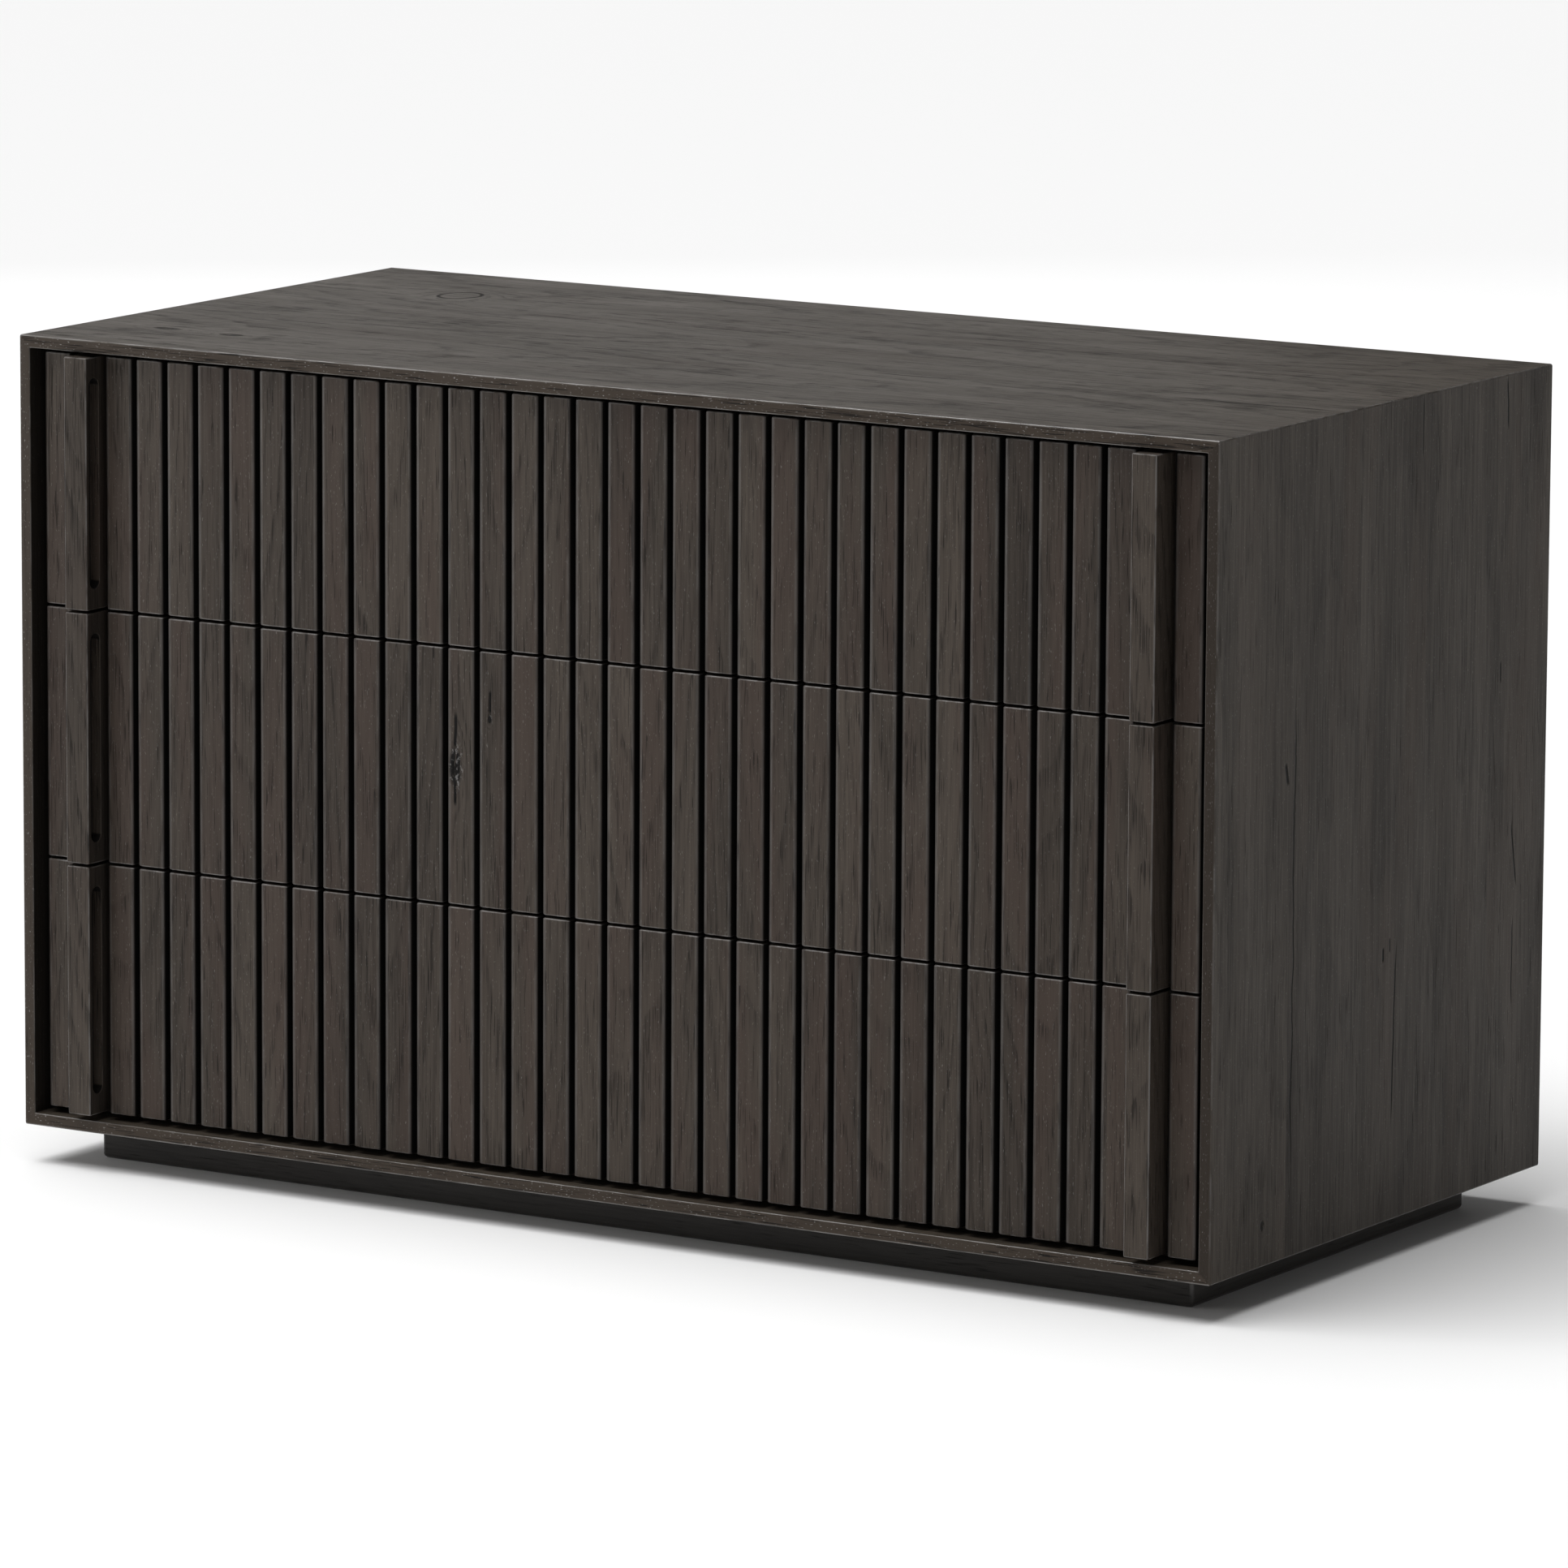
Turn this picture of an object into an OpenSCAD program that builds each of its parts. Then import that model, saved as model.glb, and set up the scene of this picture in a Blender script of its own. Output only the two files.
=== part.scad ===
// A wide, low nightstand in dark-stained oak, with three full-width drawers.
//
// The mitred case stands on an inset plinth. Each drawer front is a backing panel faced with upright
// slats, with an upright bar handle in place of the second slat from each end. The drawers run on
// ball-bearing slides of three members: one on the case, one on the drawer and a runner between them.
//
// The origin is on the floor, under the middle of the whole outline. +X is to the right for someone
// who faces the drawers, +Y is towards the back and +Z is up.

/* [Case] */
// Width over the case sides
case_w = 914; // [700:1:1200]
// Height of the case without the plinth
case_h = 534; // [420:1:800]
// Depth from the front lip to the rear edges
case_d = 440; // [360:1:600]
// Thickness of the case boards
board_t = 20; // [18:0.5:28]
// Thickness of the lip that frames the drawer fronts
lip_t = 8.5; // [6:0.5:12]
// Thickness of the back panel
back_t = 6; // [4:0.5:10]
// Distance from the rear edges to the back panel
back_inset = 6; // [3:0.5:12]
// Width of back panel that each board's rabbet covers
back_lap = 10; // [7:0.5:12]

/* [Divider rails] */
// Thickness of the rails between the drawers
rail_t = 18; // [12:0.5:20]
// Depth of the rails, front to back
rail_d = 60; // [30:1:120]
// Depth of the housings that hold the rails in the case sides
rail_housing = 6; // [3:0.5:9]

/* [Plinth] */
// Height of the plinth
plinth_h = 26; // [20:1:60]
// Thickness of the plinth boards
plinth_t = 18; // [12:0.5:24]
// Inset of the plinth from the front of the case
plinth_front_inset = 40; // [20:1:80]
// Inset of the plinth from each side of the case
plinth_side_inset = 35; // [20:1:80]
// Inset of the plinth from the back of the case
plinth_back_inset = 40; // [20:1:80]
// Side of the square blocks inside the plinth's corners
block_side = 40; // [30:1:60]
// Distance from the floor to the corner blocks
block_lift = 2; // [1:0.5:6]

/* [Drawer fronts] */
// Gap above the top front
top_gap = 2.7; // [1.5:0.1:5]
// Gap under the bottom front
bottom_gap = 4.5; // [1.5:0.1:6]
// Gap between two fronts
row_gap = 1.8; // [1.5:0.1:4]
// Gap between a front's backing panel and the lip at each side
side_gap = 2; // [1.5:0.1:4]
// Distance from the front of the case back to the face of the slats
slat_recess = 8; // [4:0.5:12]
// Thickness of the backing panels
backing_t = 12; // [9:0.5:18]
// Play between a closed front and the shoulder behind it
shut_gap = 1; // [0.5:0.1:2]

/* [Slats] */
// Number of upright places across a front, with the two that the handles take
place_count = 36; // [20:2:44]
// Thickness of the slats
slat_t = 9; // [7:0.5:14]
// Width of the groove between two slats
slat_gap = 3.8; // [2:0.1:6]
// Distance from the lip at each side to the outermost slat
slat_margin = 6.3; // [3:0.1:12]

/* [Handles] */
// Place that a handle takes, counted from its end of the front
handle_place = 2; // [2:1:6]
// Width of a handle
handle_w = 18; // [14:0.5:22]
// Distance that a handle stands in front of the slats
handle_stand = 15; // [13:0.5:24]
// Width of the finger groove in a handle's inner side
groove_w = 11; // [8:0.5:12]
// Depth of the finger groove
groove_deep = 7; // [4:0.5:8]
// Distance from the face of the slats to the finger groove
groove_setback = 0.5; // [0.5:0.5:2]
// Distance from a handle's ends to the finger groove
groove_margin = 14; // [8:0.5:30]

/* [Drawer boxes] */
// Distance from the bottom of a front up to its box
box_raise = 17; // [15:0.5:24]
// Distance from the top of a front down to its box
box_drop = 21.7; // [18:0.1:40]
// Space behind a closed drawer box
box_rear_space = 39; // [10:1:60]
// Thickness of the box's front, sides and back
box_t = 12; // [12:0.5:15]
// Thickness of the box's bottom panel
floor_t = 6; // [4:0.5:9]
// Height of the bottom panel above the box's lower edge
floor_raise = 10; // [6:0.5:15]
// Depth of the grooves that hold the bottom panel
floor_groove = 6; // [4:0.5:7]

/* [Slides] */
// Step between the lengths that slides are sold in
slide_step = 50; // [25:25:50]
// Thickness of a slide, which is the space between the case side and the box
slide_t = 12.7; // [12.5:0.1:16]
// Height of a slide
slide_h = 45; // [36:0.5:54]
// Thickness of the slides' steel
slide_wall = 1.2; // [1:0.1:1.5]
// Space for the balls between two members' flanges
ball_space = 3.3; // [2.5:0.1:3.5]
// Space between the webs of the case member and the runner
web_space = 2.6; // [2.4:0.1:3]
// Distance by which the flanges of the case member and the runner stop short of the box
flange_setback = 2; // [1:0.1:3]
// Distance from the shoulder behind the fronts to the slides' front ends
slide_setback = 3; // [1:0.5:5]

/* [Screws] */
// Diameter of the screws' shanks
screw_d = 3.5; // [3:0.1:4]
// Diameter of the screws' heads
head_d = 7; // [6:0.1:8]
// Height of a countersunk head
sunk_head_h = 2; // [1.8:0.1:2.4]
// Height of a pan head
pan_head_h = 1.6; // [1.2:0.1:1.8]
// Radial play of a screw in its hole
screw_play = 0.1; // [0.05:0.05:0.2]
// Space past a screw's tip in a blind hole
tip_space = 1; // [0.5:0.5:2]
// Wood left behind a blind hole across a board
screw_skin = 3; // [2:0.5:4]
// Depth of the back panel's screws in the case boards
back_screw_bite = 14; // [10:0.5:20]
// Distance from a slide's ends to its outer screws
slide_screw_inset = 35; // [20:1:60]
// Distance from a handle's ends to its screws
handle_screw_inset = 36; // [20:1:50]
// Distance from the box's sides to its outer screws
box_screw_inset = 60; // [40:1:120]
// Distance from the box's upper and lower edges to its screws
box_screw_edge = 33; // [24:1:36]
// Distance from the back panel's corners to its outer screws
back_screw_inset = 60; // [40:1:100]

/* [Hidden] */
// Rows from the floor up
ROWS = ["bottom", "middle", "top"];
LAST = len(ROWS) - 1;
OAK = "#5b5650";
OAK_DARK = "#4a4642";
OAK_BLACK = "#1d1a18";
BOX_WOOD = "#b79f7c";
STEEL = "#9a9da1";
SCREW_STEEL = "#84868a";

// Fineness of round holes and screws
$fn = 32;
// Overshoot of a cut past the face that it opens
cut = 1;

// Front of the handles, front of the case and the planes behind it
handle_proud = max(0, handle_stand - slat_recess);
front_y = (handle_proud - case_d) / 2;
rear_y = front_y + case_d;
slat_y = front_y + slat_recess;
backing_y = slat_y + slat_t;
box_y = backing_y + backing_t;
shoulder_y = box_y + shut_gap;
back_y = rear_y - back_inset - back_t;
lip_d = shoulder_y - front_y;
rabbet_d = back_inset + back_t;

// Opening that the fronts close
opening_w = case_w - 2 * lip_t;
opening_z = plinth_h + lip_t;
front_h = (case_h - 2 * lip_t - top_gap - bottom_gap - LAST * row_gap) / len(ROWS);
row_pitch = front_h + row_gap;
backing_w = opening_w - 2 * side_gap;

// Upright places
place_span = opening_w - 2 * slat_margin;
slat_w = (place_span - (place_count - 1) * slat_gap) / place_count;
place_pitch = slat_w + slat_gap;
groove_y = slat_y - groove_setback - groove_w / 2;

// Drawer boxes and slides
inner_w = case_w - 2 * board_t;
box_w = inner_w - 2 * slide_t;
box_d = back_y - box_y - box_rear_space;
box_h = front_h - box_raise - box_drop;
slide_len = slide_step * floor((box_d - slide_setback - shut_gap) / slide_step);
slide_y = shoulder_y + slide_setback;
runner_h = slide_h - 2 * (slide_wall + ball_space);
drawer_member_h = runner_h - 2 * (slide_wall + ball_space);
runner_x = slide_wall + web_space;
flange_end = slide_t - flange_setback;
// Depths of the screws in the wood that they hold
case_screw_bite = board_t - screw_skin - tip_space;
box_screw_bite = box_t - screw_skin - tip_space;
backing_screw_bite = backing_t - screw_skin - tip_space;
handle_screw_bite = slat_t - tip_space;
SLIDE_SCREW_Y = [
    slide_y + slide_screw_inset,
    slide_y + slide_len / 2,
    slide_y + slide_len - slide_screw_inset
];

// Plinth
plinth_w = case_w - 2 * plinth_side_inset;
plinth_y = front_y + plinth_front_inset;
plinth_d = case_d - plinth_front_inset - plinth_back_inset;
block_h = plinth_h - block_lift;

// Back panel
back_w = case_w - 2 * (board_t - back_lap);
back_h = case_h - 2 * (board_t - back_lap);
back_z = plinth_h + board_t - back_lap;

CASE_NODES = [
    "case_top", "case_bottom", "case_left_side", "case_right_side", "case_back_panel",
    "lower_divider_rail", "upper_divider_rail",
    "plinth_front", "plinth_back", "plinth_left", "plinth_right", "plinth_corner_blocks",
    "plinth_screws", "back_panel_screws", "slide_screws"
];
ROW_PARTS = [
    "drawer_backing_panel", "drawer_slats", "drawer_left_handle", "drawer_right_handle",
    "drawer_box_front", "drawer_box_back", "drawer_box_left_side", "drawer_box_right_side",
    "drawer_box_bottom", "drawer_screws",
    "slide_case_members", "slide_runners", "slide_drawer_members"
];

// Lower edge of a row's front, of its box, and the middle of its slides
function front_z(row) = opening_z + bottom_gap + row * row_pitch;
function box_z(row) = front_z(row) + box_raise;
function slide_z(row) = box_z(row) + box_h / 2;
// Middle of an upright place, counted from 1 at the left
function place_x(place) = -place_span / 2 + slat_w / 2 + (place - 1) * place_pitch;
// Whether a handle takes this place
function is_handle(place) = place == handle_place || place == place_count + 1 - handle_place;
// Middle of the gap above a row, where a rail lies behind it
function rail_z(row) = front_z(row) + front_h + row_gap / 2;
// Places of the back panel's screws along a board of the given span
function back_screw_places(span) = [-span / 2 + back_screw_inset, 0, span / 2 - back_screw_inset];

// A box from its lowest corner
module block(corner, size) {
    translate(corner) cube(size);
}

// The same thing at the left and, mirrored, at the right
module both_sides() {
    for (side = [0, 1]) mirror([side, 0, 0]) children();
}

// A countersunk screw along -Z, with its head flush at the origin
module sunk_screw(depth, play = 0) {
    head_r = head_d / 2 + play;
    shank_r = screw_d / 2 + play;
    union() {
        translate([0, 0, -sunk_head_h]) cylinder(h = sunk_head_h, r1 = shank_r, r2 = head_r);
        translate([0, 0, -depth]) cylinder(h = depth, r = shank_r);
    }
}

// A pan-head screw along -Z, with the underside of its head at the origin
module pan_screw(depth) {
    union() {
        cylinder(h = pan_head_h, d = head_d);
        translate([0, 0, -depth]) cylinder(h = depth, d = screw_d);
    }
}

// The straight hole of a screw along -Z
module screw_hole(depth) {
    translate([0, 0, -depth]) cylinder(h = depth + cut, r = screw_d / 2 + screw_play);
}

// A case board: outer face up at z = 0, mitred at both ends, with a thin lip at the front and a
// rabbet for the back panel at the rear
module case_board(span) {
    module slice(start, depth, thickness) {
        half = span / 2;
        translate([0, start + depth, 0]) rotate([90, 0, 0]) linear_extrude(height = depth)
            polygon([[-half, 0], [half, 0], [half - thickness, -thickness], [thickness - half, -thickness]]);
    }
    union() {
        slice(front_y, lip_d, lip_t);
        slice(shoulder_y, case_d - lip_d - rabbet_d, board_t);
        slice(rear_y - rabbet_d, rabbet_d, board_t - back_lap);
    }
}

// Puts a board's outer face up at the top, down at the bottom, or out at the left
module at_top() {
    translate([0, 0, plinth_h + case_h]) children();
}
module at_bottom() {
    translate([0, 0, plinth_h]) rotate([0, 180, 0]) children();
}
module at_left() {
    translate([-case_w / 2, 0, plinth_h + case_h / 2]) rotate([0, -90, 0]) children();
}

// Spots and directions of each group of screws; the children are one screw or its hole
module at_back_screws() {
    edge = back_lap / 2;
    for (x = back_screw_places(back_w), z = [back_z + edge, back_z + back_h - edge])
        translate([x, back_y + back_t, z]) rotate([-90, 0, 0]) children();
    for (x = [-back_w / 2 + edge, back_w / 2 - edge], z = [back_screw_inset, back_h - back_screw_inset])
        translate([x, back_y + back_t, back_z + z]) rotate([-90, 0, 0]) children();
}
module at_plinth_screws() {
    inset = plinth_t + block_side / 2;
    for (x = [-1, 1] * (plinth_w / 2 - inset), y = [plinth_y + inset, plinth_y + plinth_d - inset])
        translate([x, y, block_lift]) rotate([180, 0, 0]) children();
}
module at_case_member_screws(row) {
    for (y = SLIDE_SCREW_Y)
        translate([-inner_w / 2 + slide_wall, y, slide_z(row)]) rotate([0, 90, 0]) children();
}
module at_drawer_member_screws(row) {
    for (y = SLIDE_SCREW_Y)
        translate([-box_w / 2 - slide_wall, y, slide_z(row)]) rotate([0, -90, 0]) children();
}
module at_handle_screws(row) {
    for (z = [handle_screw_inset, front_h - handle_screw_inset])
        translate([place_x(handle_place), box_y, front_z(row) + z])
            rotate([-90, 0, 0]) children();
}
module at_box_screws(row) {
    for (z = [box_screw_edge, box_h - box_screw_edge])
        translate([-box_w / 2 + box_screw_inset, box_y + box_t, box_z(row) + z])
            rotate([-90, 0, 0]) children();
}

// Case
module case_top() {
    color(OAK) difference() {
        at_top() case_board(case_w);
        at_back_screws() screw_hole(back_t + back_screw_bite + tip_space);
    }
}
module case_bottom() {
    color(OAK) difference() {
        at_bottom() case_board(case_w);
        at_back_screws() screw_hole(back_t + back_screw_bite + tip_space);
        at_plinth_screws() screw_hole(block_h + case_screw_bite + tip_space);
    }
}
module case_left_side() {
    color(OAK) difference() {
        at_left() case_board(case_h);
        at_back_screws() screw_hole(back_t + back_screw_bite + tip_space);
        for (row = [0 : LAST])
            at_case_member_screws(row) screw_hole(slide_wall + case_screw_bite + tip_space);
        for (row = [0 : LAST - 1]) divider_rail(row);
    }
}
module case_right_side() {
    mirror([1, 0, 0]) case_left_side();
}
module case_back_panel() {
    color(OAK_DARK) difference() {
        block([-back_w / 2, back_y, back_z], [back_w, back_t, back_h]);
        at_back_screws() sunk_screw(back_t + cut, screw_play);
    }
}
module divider_rail(row) {
    rail_w = inner_w + 2 * rail_housing;
    color(OAK_DARK) block([-rail_w / 2, shoulder_y, rail_z(row) - rail_t / 2], [rail_w, rail_d, rail_t]);
}
module back_panel_screws() {
    color(SCREW_STEEL) at_back_screws() sunk_screw(back_t + back_screw_bite);
}
module slide_screws() {
    color(SCREW_STEEL) both_sides() for (row = [0 : LAST])
        at_case_member_screws(row) pan_screw(slide_wall + case_screw_bite);
}

// Plinth
module plinth_board(span) {
    half = span / 2;
    linear_extrude(height = plinth_h)
        polygon([[-half, 0], [half, 0], [half - plinth_t, plinth_t], [plinth_t - half, plinth_t]]);
}
module plinth_front() {
    color(OAK_BLACK) translate([0, plinth_y, 0]) plinth_board(plinth_w);
}
module plinth_back() {
    color(OAK_BLACK) translate([0, plinth_y + plinth_d, 0]) rotate([0, 0, 180]) plinth_board(plinth_w);
}
module plinth_left() {
    color(OAK_BLACK) translate([-plinth_w / 2, plinth_y + plinth_d / 2, 0])
        rotate([0, 0, -90]) plinth_board(plinth_d);
}
module plinth_right() {
    mirror([1, 0, 0]) plinth_left();
}
module plinth_corner_blocks() {
    x = plinth_w / 2 - plinth_t - block_side;
    back = plinth_y + plinth_d - plinth_t - block_side;
    color(OAK_BLACK) difference() {
        both_sides() for (y = [plinth_y + plinth_t, back])
            block([x, y, block_lift], [block_side, block_side, block_h]);
        at_plinth_screws() sunk_screw(block_h + cut, screw_play);
    }
}
module plinth_screws() {
    color(SCREW_STEEL) at_plinth_screws() sunk_screw(block_h + case_screw_bite);
}

// Drawer fronts
module backing_panel(row) {
    color(OAK_BLACK) difference() {
        block([-backing_w / 2, backing_y, front_z(row)], [backing_w, backing_t, front_h]);
        both_sides() at_handle_screws(row) sunk_screw(backing_t + cut, screw_play);
        both_sides() at_box_screws(row) screw_hole(box_t + backing_screw_bite + tip_space);
    }
}
module slats(row) {
    color(OAK) for (place = [1 : place_count]) if (!is_handle(place))
        block([place_x(place) - slat_w / 2, slat_y, front_z(row)], [slat_w, slat_t, front_h]);
}
// The finger groove's outline is a slot with round ends, cut from the handle's inner side
module finger_groove(row) {
    low = front_z(row) + groove_margin + groove_w / 2;
    high = front_z(row) + front_h - groove_margin - groove_w / 2;
    inner_x = place_x(handle_place) + handle_w / 2;
    translate([inner_x - groove_deep, groove_y, 0]) union() {
        for (z = [low, high])
            translate([0, 0, z]) rotate([0, 90, 0]) cylinder(h = groove_deep + cut, d = groove_w);
        block([0, -groove_w / 2, low], [groove_deep + cut, groove_w, high - low]);
    }
}
module left_handle(row) {
    handle_x = place_x(handle_place) - handle_w / 2;
    color(OAK) difference() {
        block([handle_x, slat_y - handle_stand, front_z(row)], [handle_w, handle_stand + slat_t, front_h]);
        finger_groove(row);
        at_handle_screws(row) screw_hole(backing_t + handle_screw_bite + tip_space);
    }
}
module right_handle(row) {
    mirror([1, 0, 0]) left_handle(row);
}

// Drawer boxes
module box_floor(row) {
    size = [
        box_w - 2 * (box_t - floor_groove),
        box_d - 2 * (box_t - floor_groove),
        floor_t
    ];
    color(BOX_WOOD) block([-size.x / 2, box_y + box_t - floor_groove, box_z(row) + floor_raise], size);
}
module box_front(row) {
    color(BOX_WOOD) difference() {
        block([box_t - box_w / 2, box_y, box_z(row)], [box_w - 2 * box_t, box_t, box_h]);
        box_floor(row);
        both_sides() at_box_screws(row) sunk_screw(box_t + cut, screw_play);
    }
}
module box_back(row) {
    color(BOX_WOOD) difference() {
        block([box_t - box_w / 2, box_y + box_d - box_t, box_z(row)], [box_w - 2 * box_t, box_t, box_h]);
        box_floor(row);
    }
}
module box_left_side(row) {
    color(BOX_WOOD) difference() {
        block([-box_w / 2, box_y, box_z(row)], [box_t, box_d, box_h]);
        box_floor(row);
        at_drawer_member_screws(row) screw_hole(slide_wall + box_screw_bite + tip_space);
    }
}
module box_right_side(row) {
    mirror([1, 0, 0]) box_left_side(row);
}
module drawer_screws(row) {
    color(SCREW_STEEL) both_sides() {
        at_handle_screws(row) sunk_screw(backing_t + handle_screw_bite);
        at_box_screws(row) sunk_screw(box_t + backing_screw_bite);
        at_drawer_member_screws(row) pan_screw(slide_wall + box_screw_bite);
    }
}

// Slides: each member is a steel channel that opens towards +X, with its web at x = 0
module channel(height, reach) {
    difference() {
        block([0, slide_y, -height / 2], [reach, slide_len, height]);
        block([slide_wall, slide_y - cut, slide_wall - height / 2],
              [reach, slide_len + 2 * cut, height - 2 * slide_wall]);
    }
}
module case_members(row) {
    color(STEEL) both_sides() difference() {
        translate([-inner_w / 2, 0, slide_z(row)]) channel(slide_h, flange_end);
        at_case_member_screws(row) screw_hole(slide_wall + cut);
    }
}
module runners(row) {
    color(STEEL) both_sides()
        translate([runner_x - inner_w / 2, 0, slide_z(row)]) channel(runner_h, flange_end - runner_x);
}
module drawer_members(row) {
    reach = slide_t - runner_x - slide_wall - web_space / 2;
    color(STEEL) both_sides() difference() {
        translate([-box_w / 2, 0, slide_z(row)]) mirror([1, 0, 0]) channel(drawer_member_h, reach);
        at_drawer_member_screws(row) screw_hole(slide_wall + cut);
    }
}

case_top();
case_bottom();
case_left_side();
case_right_side();
case_back_panel();
divider_rail(0);  // lower_divider_rail
divider_rail(1);  // upper_divider_rail
plinth_front();
plinth_back();
plinth_left();
plinth_right();
plinth_corner_blocks();
plinth_screws();
back_panel_screws();
slide_screws();

for (row = [0 : LAST]) {
    backing_panel(row);
    slats(row);
    left_handle(row);
    right_handle(row);
    box_front(row);
    box_back(row);
    box_left_side(row);
    box_right_side(row);
    box_floor(row);
    drawer_screws(row);
    case_members(row);
    runners(row);
    drawer_members(row);
}
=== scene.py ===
"""Looks for a wide, low nightstand in dark-stained oak with three slatted drawers.

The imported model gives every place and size. This script turns its boards, slats, handles, slides and
screws into finished pieces, gives each a timber or steel finish, and sets up a plain studio.
"""

import logging
import math
from collections.abc import Callable, Sequence
from dataclasses import dataclass, field
from enum import Enum
from itertools import product

import bmesh
import bpy
import numpy as np
from mathutils import Matrix, Vector


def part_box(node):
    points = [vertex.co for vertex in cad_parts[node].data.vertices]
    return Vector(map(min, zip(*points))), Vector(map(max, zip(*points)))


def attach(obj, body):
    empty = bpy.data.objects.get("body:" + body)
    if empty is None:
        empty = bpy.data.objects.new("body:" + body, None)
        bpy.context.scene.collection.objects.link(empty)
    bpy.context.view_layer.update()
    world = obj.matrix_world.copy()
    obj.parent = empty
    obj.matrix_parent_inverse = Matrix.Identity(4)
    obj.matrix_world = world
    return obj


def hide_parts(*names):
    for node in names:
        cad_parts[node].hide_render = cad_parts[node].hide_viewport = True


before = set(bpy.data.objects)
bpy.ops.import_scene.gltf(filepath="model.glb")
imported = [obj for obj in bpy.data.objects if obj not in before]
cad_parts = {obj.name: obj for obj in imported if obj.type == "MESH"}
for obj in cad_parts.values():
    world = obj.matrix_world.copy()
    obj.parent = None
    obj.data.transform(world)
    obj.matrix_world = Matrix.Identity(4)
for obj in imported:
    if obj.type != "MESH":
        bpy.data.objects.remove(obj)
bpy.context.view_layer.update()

LOG = logging.getLogger("nightstand")
MM = 0.001
ROWS = ("bottom", "middle", "top")
ARRIS = "arris"
PLANK = "plank"
TINT = "tint"
RECESS = "recess"
LIP = "lip"
# Angles between faces that count as one flat, as an edge to round, and as a crease in the shading.
FLAT, SHARP, CREASE = math.radians(0.5), math.radians(40), math.radians(50)
# Distances within which vertices are one, lie on a plane, and belong to a face.
MERGED, EXACT, NEAR = 0.001 * MM, 0.01 * MM, 0.1 * MM

Colour = tuple[float, float, float]
Corner = tuple[float, float, float]
Box = tuple[Vector, Vector]
Ring = list[bmesh.types.BMVert]
Socket = bpy.types.NodeSocket
Settings = dict[str, object]
Sockets = dict[str | int, object]


class Grain(Enum):
    """Which row axis the grain follows, as (along, across, through) axis numbers."""

    X = (0, 1, 2)
    X_UPRIGHT = (0, 2, 1)
    Y = (1, 0, 2)
    Z_FRONT = (2, 0, 1)
    Z_SIDE = (2, 1, 0)


class Streak(Enum):
    """Noises of the timbers: cells a metre along and across the grain, detail, roughness, shift along it."""

    WARP = (2.6, 8, 2.0, 0.5, 0)
    RIPPLE = (16, 60, 1.0, 0.5, 0)
    FIBRE = (15, 640, 3.0, 0.7, 0)
    PATCH = (3.2, 26, 2.0, 0.5, 0)
    RED = (4.1, 34, 1.5, 0.5, 40)
    DASH = (48, 1500, 0.0, 0.5, 0)
    VEIN = (17, 1000, 1.0, 0.5, 0)
    CLUSTER = (5.5, 20, 1.0, 0.5, 17)
    GLINT = (480, 1700, 0.0, 0.5, 0)
    SCUFF = (45, 130, 2.0, 0.5, 0)


class HeadShape(Enum):
    """The two kinds of screw head."""

    SUNK = 0
    PAN = 1


# ---------------------------------------------------------------- node graphs


class Signal:
    """A number that varies over a surface: one output socket whose operators add Math nodes."""

    def __init__(self, graph: "Graph", socket: Socket) -> None:
        """Wraps a socket of the given graph."""
        self.graph = graph
        self.socket = socket

    def _math(self, operation: str, *values: object, clamp: bool = False) -> "Signal":
        """Adds a Math node.

        Args:
            operation: the node's operation.
            values: its inputs in order, as signals or numbers.
            clamp: whether the result is kept between 0 and 1.

        Returns:
            The node's result.
        """
        settings = {"operation": operation, "use_clamp": clamp}
        node = self.graph.node("ShaderNodeMath", settings, dict(enumerate(values)))
        return Signal(self.graph, node.outputs[0])

    def __add__(self, other: object) -> "Signal":
        """Sum."""
        return self._math("ADD", self, other)

    __radd__ = __add__

    def __sub__(self, other: object) -> "Signal":
        """Difference."""
        return self._math("SUBTRACT", self, other)

    def __rsub__(self, other: object) -> "Signal":
        """Difference with the signal on the right."""
        return self._math("SUBTRACT", other, self)

    def __mul__(self, other: object) -> "Signal":
        """Product."""
        return self._math("MULTIPLY", self, other)

    __rmul__ = __mul__

    def __truediv__(self, other: object) -> "Signal":
        """Quotient."""
        return self._math("DIVIDE", self, other)

    def __pow__(self, exponent: float) -> "Signal":
        """Power."""
        return self._math("POWER", self, exponent)

    def __abs__(self) -> "Signal":
        """Absolute value."""
        return self._math("ABSOLUTE", self)

    def floor(self) -> "Signal":
        """Whole part."""
        return self._math("FLOOR", self)

    def fraction(self) -> "Signal":
        """Part after the point."""
        return self._math("FRACT", self)

    def clamped(self) -> "Signal":
        """The same, kept between 0 and 1."""
        return self._math("ADD", self, 0.0, clamp=True)

    def most(self, other: object) -> "Signal":
        """The larger of two."""
        return self._math("MAXIMUM", self, other)

    def rise(self, low: object, high: object) -> "Signal":
        """A smooth step.

        Args:
            low: value where the step starts at 0.
            high: value where it reaches 1; it may be the lower one, for a fall.

        Returns:
            A signal from 0 to 1.
        """
        sockets = {"Value": self, "From Min": low, "From Max": high}
        node = self.graph.node("ShaderNodeMapRange", {"interpolation_type": "SMOOTHSTEP"}, sockets)
        return Signal(self.graph, node.outputs[0])


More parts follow.
